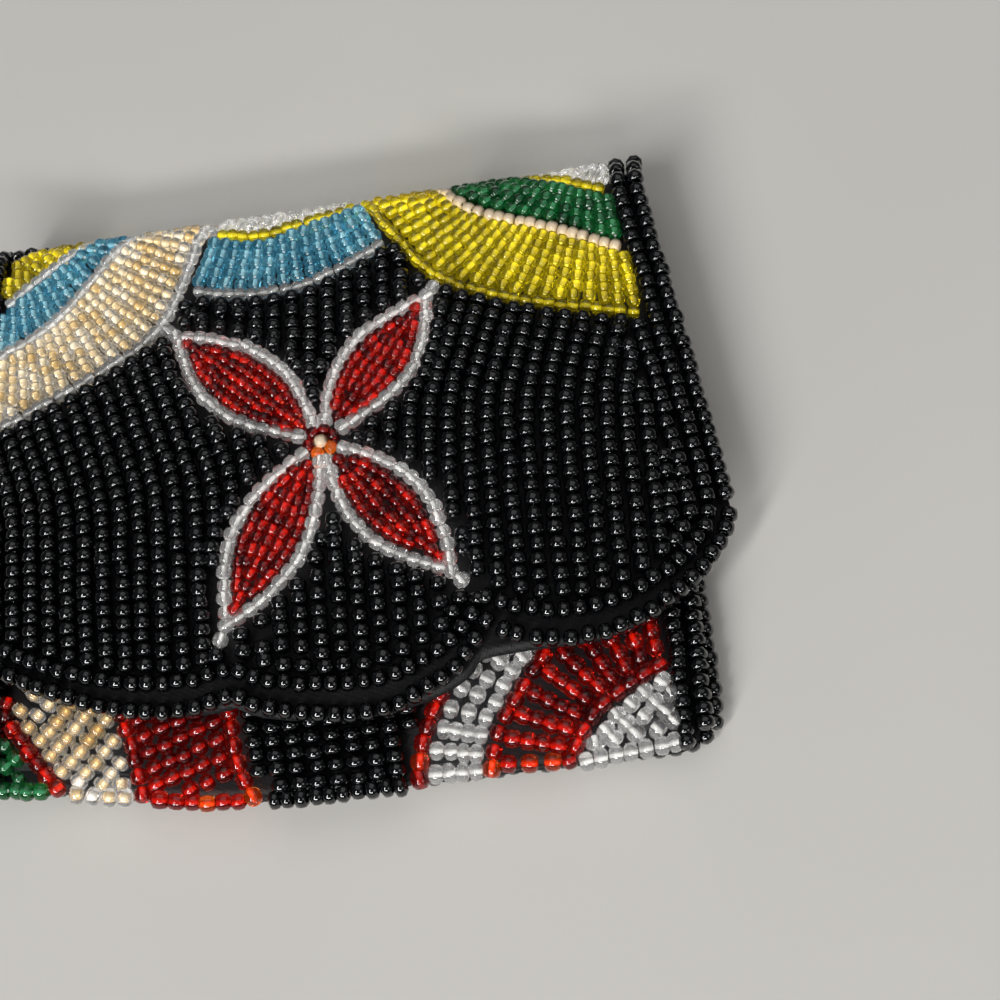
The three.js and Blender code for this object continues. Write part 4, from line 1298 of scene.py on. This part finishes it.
class PURSE_OT_edge_strands(bpy.types.Operator):
    """Edge the flap's sides and its three lobes with black beads"""

    bl_idname = "purse.edge_strands"
    bl_label = "Edge Strands"

    LOBE_PITCH, CROWDED = 1.12, 0.6

    def execute(self, context):
        full = bead_size(context.scene.purse_sizes, "ground")
        sewn = []
        for lobe, name in enumerate(("right", "middle", "left")):
            strand = lobe_line(lobe, EDGE, EDGE).beads(self.LOBE_PITCH * full.pitch,
                                                       trim=full.diameter / 5)
            beads = spread_out(sewn + strand, self.CROWDED * full.diameter)[len(sewn):]
            sewn += beads
            string_beads(context, f"edge_strand_{name}_lobe", beads, full, flap_skin, "black")
        for sign, name in ((1, "right"), (-1, "left")):
            beads = side_line(sign, EDGE, BAND_TOP, FLAP_SIDE.y + GAP).beads(full.pitch)
            string_beads(context, f"edge_strand_{name}_side", beads, full, flap_skin, "black")
        return {"FINISHED"}


class PURSE_OT_front_beads(bpy.types.Operator):
    """Sew the panels, arches and strands on the pouch's front"""

    bl_idname = "purse.front_beads"
    bl_label = "Front Beads"

    # Each panel's two lines, the slope and spacing of its threads, its bead and its look.
    HATCHED = {
        "front_green_corner": ("green_side", "green_rim", 42, 2.3, "front", "green"),
        "front_gold_panel": ("red_left", "panel_left", 50, 2.35, "front", "gold"),
        "front_red_panel": ("panel_left", "panel_right", 22, 1.98, "long", "red"),
        "front_black_middle": ("panel_right", "red_right", 94, 2.36, "front", "black"),
        "front_clear_corner": ("arch_right", "corner_side", 130, 2.1, "front", "clear"),
    }
    # Each fan's two lines, its number of ribs, its bead and its look.
    RIBBED = {
        "front_clear_panel": ("panel_head", "arch_left", 9, "front", "clear"),
        "front_red_arch": ("arch_head", "arch_right", 10, "long", "red"),
    }
    # Beads below this height get a painted glow of daylight, and the panel in the flap's shadow gets
    # painted shade: its tones stop lower.
    GLOW = 6.0
    SHADED = {"front_red_panel": 0.4}
    STRAND_ROOM, FOOT_ROOM, RIB_MARGIN = 0.84, 0.78, 0.82
    CROWDED, RIB_CROWDED, FILLER_GAP = 0.6, 0.5, 0.74
    STRANDS = ("red_left", "panel_left", "panel_right", "red_right", "arch_left", "arch_right")

    def execute(self, context):
        sizes = context.scene.purse_sizes
        kinds = {kind: bead_size(sizes, kind) for kind in ("front", "long")}
        strand, front = kinds["long"], kinds["front"]
        lines = front_lines()
        for node, (left, right, slope, row, kind, look) in self.HATCHED.items():
            size, left, right = kinds[kind], lines[left].places, lines[right].places
            beside = (strand.diameter + size.diameter) / 2
            off_strands = keep_off([lines[name] for name in self.STRANDS],
                                   self.STRAND_ROOM * beside)
            ring = left + right[::-1]
            foot = Line((left[0], right[0]))
            off_foot = keep_off([foot], self.FOOT_ROOM * size.diameter)

            def free(place):
                return inside(place, ring) and off_strands(place) and off_foot(place)

            beads = fitted(foot, size.pitch, off_strands)
            for thread in hatching(ring, slope, row):
                beads += fitted(thread, size.pitch, free)
            beads = spread_out(beads, self.CROWDED * size.diameter)
            beads += gap_fillers(beads, free, *corners_of(ring), self.FILLER_GAP * size.diameter)
            string_beads(context, node, beads, size, front_skin, look, glow=self.GLOW,
                         full_tone=self.SHADED.get(node, FULL_TONE))
        for node, (left, right, count, kind, look) in self.RIBBED.items():
            size = kinds[kind]
            beside = (strand.diameter + size.diameter) / 2
            beads = ribs(lines[left], lines[right], count, size.pitch, self.RIB_MARGIN * beside)
            beads = spread_out(beads, self.RIB_CROWDED * size.diameter)
            string_beads(context, node, beads, size, front_skin, look, glow=self.GLOW)
        for name in self.STRANDS:
            string_beads(context, f"front_strand_{name}", lines[name].beads(strand.pitch), strand,
                         front_skin, "red", glow=self.GLOW)
        for sign, name in ((-1, "left"), (1, "right")):
            beads = []
            for x in EDGE_COLUMNS:
                foot = FRONT_FOOT + corner_cut(x)
                beads += Line(((sign * x, foot), (sign * x, FRONT_EDGE_TOP))).beads(front.pitch)
            string_beads(context, f"front_black_edge_{name}", beads, front, front_skin, "black")
        return {"FINISHED"}


class PURSE_OT_back_rows(bpy.types.Operator):
    """Cover the back with plain columns of black beads"""

    bl_idname = "purse.back_rows"
    bl_label = "Back Rows"

    PRESSED, PITCH, TRIM = 0.2, 1.08, 0.3

    def execute(self, context):
        sizes = context.scene.purse_sizes
        full = bead_size(sizes, "ground")
        half = POUCH_HALF - GAP - full.diameter / 2
        count = round(2 * half / millimetres(sizes, "column"))
        chance = random.Random(f"{SEED} back")
        beads = []
        for k in range(count + 1):
            u = -half + 2 * half * k / count
            top, foot = BAND_TOP + full.diameter / 2, BACK_END - BACK_FOOT - corner_cut(u)
            column = Line(((u, top), (u, foot)))
            beads += column.beads(self.PITCH * full.pitch,
                                  trim=self.TRIM + self.TRIM * chance.random())
        string_beads(context, "back_black_rows", beads, full, flap_skin, "black",
                     lift=full.diameter / 2 - self.PRESSED)
        return {"FINISHED"}


class PURSE_OT_seam_edging(bpy.types.Operator):
    """Run a strand of black beads round the side and bottom seams"""

    bl_idname = "purse.seam_edging"
    bl_label = "Seam Edging"

    CORNER_STEPS, PITCH = 10, 1.1

    def execute(self, context):
        full = bead_size(context.scene.purse_sizes, "ground")
        out, foot = SEAM_HIGH.x - 0.5 * full.diameter, SEAM_FOOT
        inner = POUCH_HALF - CORNER
        places = [Vector((out, MOUTH_Y))]
        for sign, first in ((1, 0), (-1, self.CORNER_STEPS)):
            for k in range(self.CORNER_STEPS + 1):
                turn = math.pi / 2 * abs(first - k) / self.CORNER_STEPS
                places.append(Vector((sign * (inner + (out - inner) * math.cos(turn)),
                                      CORNER - (CORNER - foot) * math.sin(turn))))
        places.append(Vector((-out, MOUTH_Y)))
        string_beads(context, "seam_edging", Line(places).beads(self.PITCH * full.pitch), full,
                     seam_skin, "black", lift=0.0)
        return {"FINISHED"}


class PURSE_OT_stage(bpy.types.Operator):
    """Set the purse on a pale floor under soft light, and place the camera"""

    bl_idname = "purse.stage"
    bl_label = "Stage"

    VIEW_TARGET = (22.5, 35.0, 5.0)
    VIEW_DISTANCE = 238.5
    VIEW_AROUND, VIEW_RAISED, VIEW_ROLL = 12.19, 62.0, -18.5
    LENS, SENSOR, NEAREST = 68.4, 36.0, 0.01
    FLOOR_HALF, FLOOR_CELLS = 3.0, 8
    SKY, SKY_STRENGTH = (0.93, 0.96, 1.0, 1), 0.06
    # Each lamp's place, its width and height, and its power.
    LAMPS = {
        "front_window": ((-0.32, -1.72, 0.96), (1.6, 0.2), 28.0),
        "left_window": ((-0.80, -1.24, 1.52), (0.2, 1.1), 20.8),
        "side_window": ((1.48, -1.08, 1.34), (0.9, 0.9), 4.0),
        "top_panel": ((0.30, 0.90, 2.24), (2.6, 2.6), 12.0),
    }
    LAMP_TARGET = (0, 0, 0.005)

    def execute(self, context):
        scene = context.scene
        scene.view_settings.view_transform = "Standard"
        self.lay_floor(context)
        self.place_camera(context)
        self.set_light(scene)
        return {"FINISHED"}

    def lay_floor(self, context):
        material, tree, shader = new_material("pale_floor")
        mottle(tree, shader, 9.0, context.scene.purse_colours.floor, dark=0.97, light=1.03)
        set_inputs(shader, {"Roughness": 0.7, "Specular IOR Level": 0.2})
        shape = bmesh.new()
        bmesh.ops.create_grid(shape, x_segments=self.FLOOR_CELLS, y_segments=self.FLOOR_CELLS,
                              size=self.FLOOR_HALF)
        new_piece(context, "floor", shape, material)

    def place_camera(self, context):
        around, raised, roll = (
            math.radians(turn) for turn in (self.VIEW_AROUND, self.VIEW_RAISED, self.VIEW_ROLL))
        back = Vector((math.sin(around) * math.cos(raised), -math.cos(around) * math.cos(raised),
                       math.sin(raised)))
        right = Vector((0, 0, 1)).cross(back).normalized()
        up = back.cross(right)
        right, up = (right * math.cos(roll) + up * math.sin(roll),
                     up * math.cos(roll) - right * math.sin(roll))
        place = in_frame(Vector(self.VIEW_TARGET) + back * self.VIEW_DISTANCE)
        camera = bpy.data.objects.new("camera", bpy.data.cameras.new("camera"))
        camera.data.lens, camera.data.sensor_width = self.LENS, self.SENSOR
        camera.data.clip_start = self.NEAREST
        camera.matrix_world = (Matrix.Translation(place)
                               @ Matrix((right, up, back)).transposed().to_4x4())
        context.scene.collection.objects.link(camera)
        context.scene.camera = camera

    def set_light(self, scene):
        world = bpy.data.worlds.new("studio")
        world.use_nodes = True
        set_inputs(world.node_tree.nodes["Background"],
                   {"Color": self.SKY, "Strength": self.SKY_STRENGTH})
        scene.world = world
        for name, (place, size, power) in self.LAMPS.items():
            self.hang_lamp(scene, name, place, size, power)

    def hang_lamp(self, scene, name, place, size, power):
        """A rectangular soft lamp that looks at the middle of the purse."""
        lamp = bpy.data.lights.new(name, "AREA")
        lamp.shape, lamp.energy = "RECTANGLE", power
        lamp.size, lamp.size_y = size
        holder = bpy.data.objects.new(name, lamp)
        holder.location = place
        aim = Vector(self.LAMP_TARGET) - Vector(place)
        holder.rotation_euler = aim.to_track_quat("-Z", "Y").to_euler()
        scene.collection.objects.link(holder)


STEPS = (PURSE_OT_cloth, PURSE_OT_press_stud, PURSE_OT_black_ground, PURSE_OT_bands,
         PURSE_OT_flower, PURSE_OT_edge_strands, PURSE_OT_front_beads, PURSE_OT_back_rows,
         PURSE_OT_seam_edging, PURSE_OT_stage)


class PURSE_PT_sidebar(bpy.types.Panel):
    """Sizes, colours and building steps of the purse"""

    bl_idname = "PURSE_PT_sidebar"
    bl_label = "Beaded Coin Purse"
    bl_space_type = "VIEW_3D"
    bl_region_type = "UI"
    bl_category = "Purse"

    def draw(self, context):
        for group in (context.scene.purse_sizes, context.scene.purse_colours):
            box = self.layout.box()
            for name in group.__annotations__:
                box.prop(group, name)
        for step in STEPS:
            self.layout.operator(step.bl_idname)


CLASSES = (PurseSizes, PurseColours, *STEPS, PURSE_PT_sidebar)


def register():
    for made in CLASSES:
        bpy.utils.register_class(made)
    bpy.types.Scene.purse_sizes = PointerProperty(type=PurseSizes)
    bpy.types.Scene.purse_colours = PointerProperty(type=PurseColours)


def unregister():
    del bpy.types.Scene.purse_colours
    del bpy.types.Scene.purse_sizes
    for made in reversed(CLASSES):
        bpy.utils.unregister_class(made)


def main():
    register()
    bpy.ops.purse.cloth()
    bpy.ops.purse.press_stud()
    bpy.ops.purse.black_ground()
    bpy.ops.purse.bands()
    bpy.ops.purse.flower()
    bpy.ops.purse.edge_strands()
    bpy.ops.purse.front_beads()
    bpy.ops.purse.back_rows()
    bpy.ops.purse.seam_edging()
    bpy.ops.purse.stage()


if __name__ == "__main__":
    main()
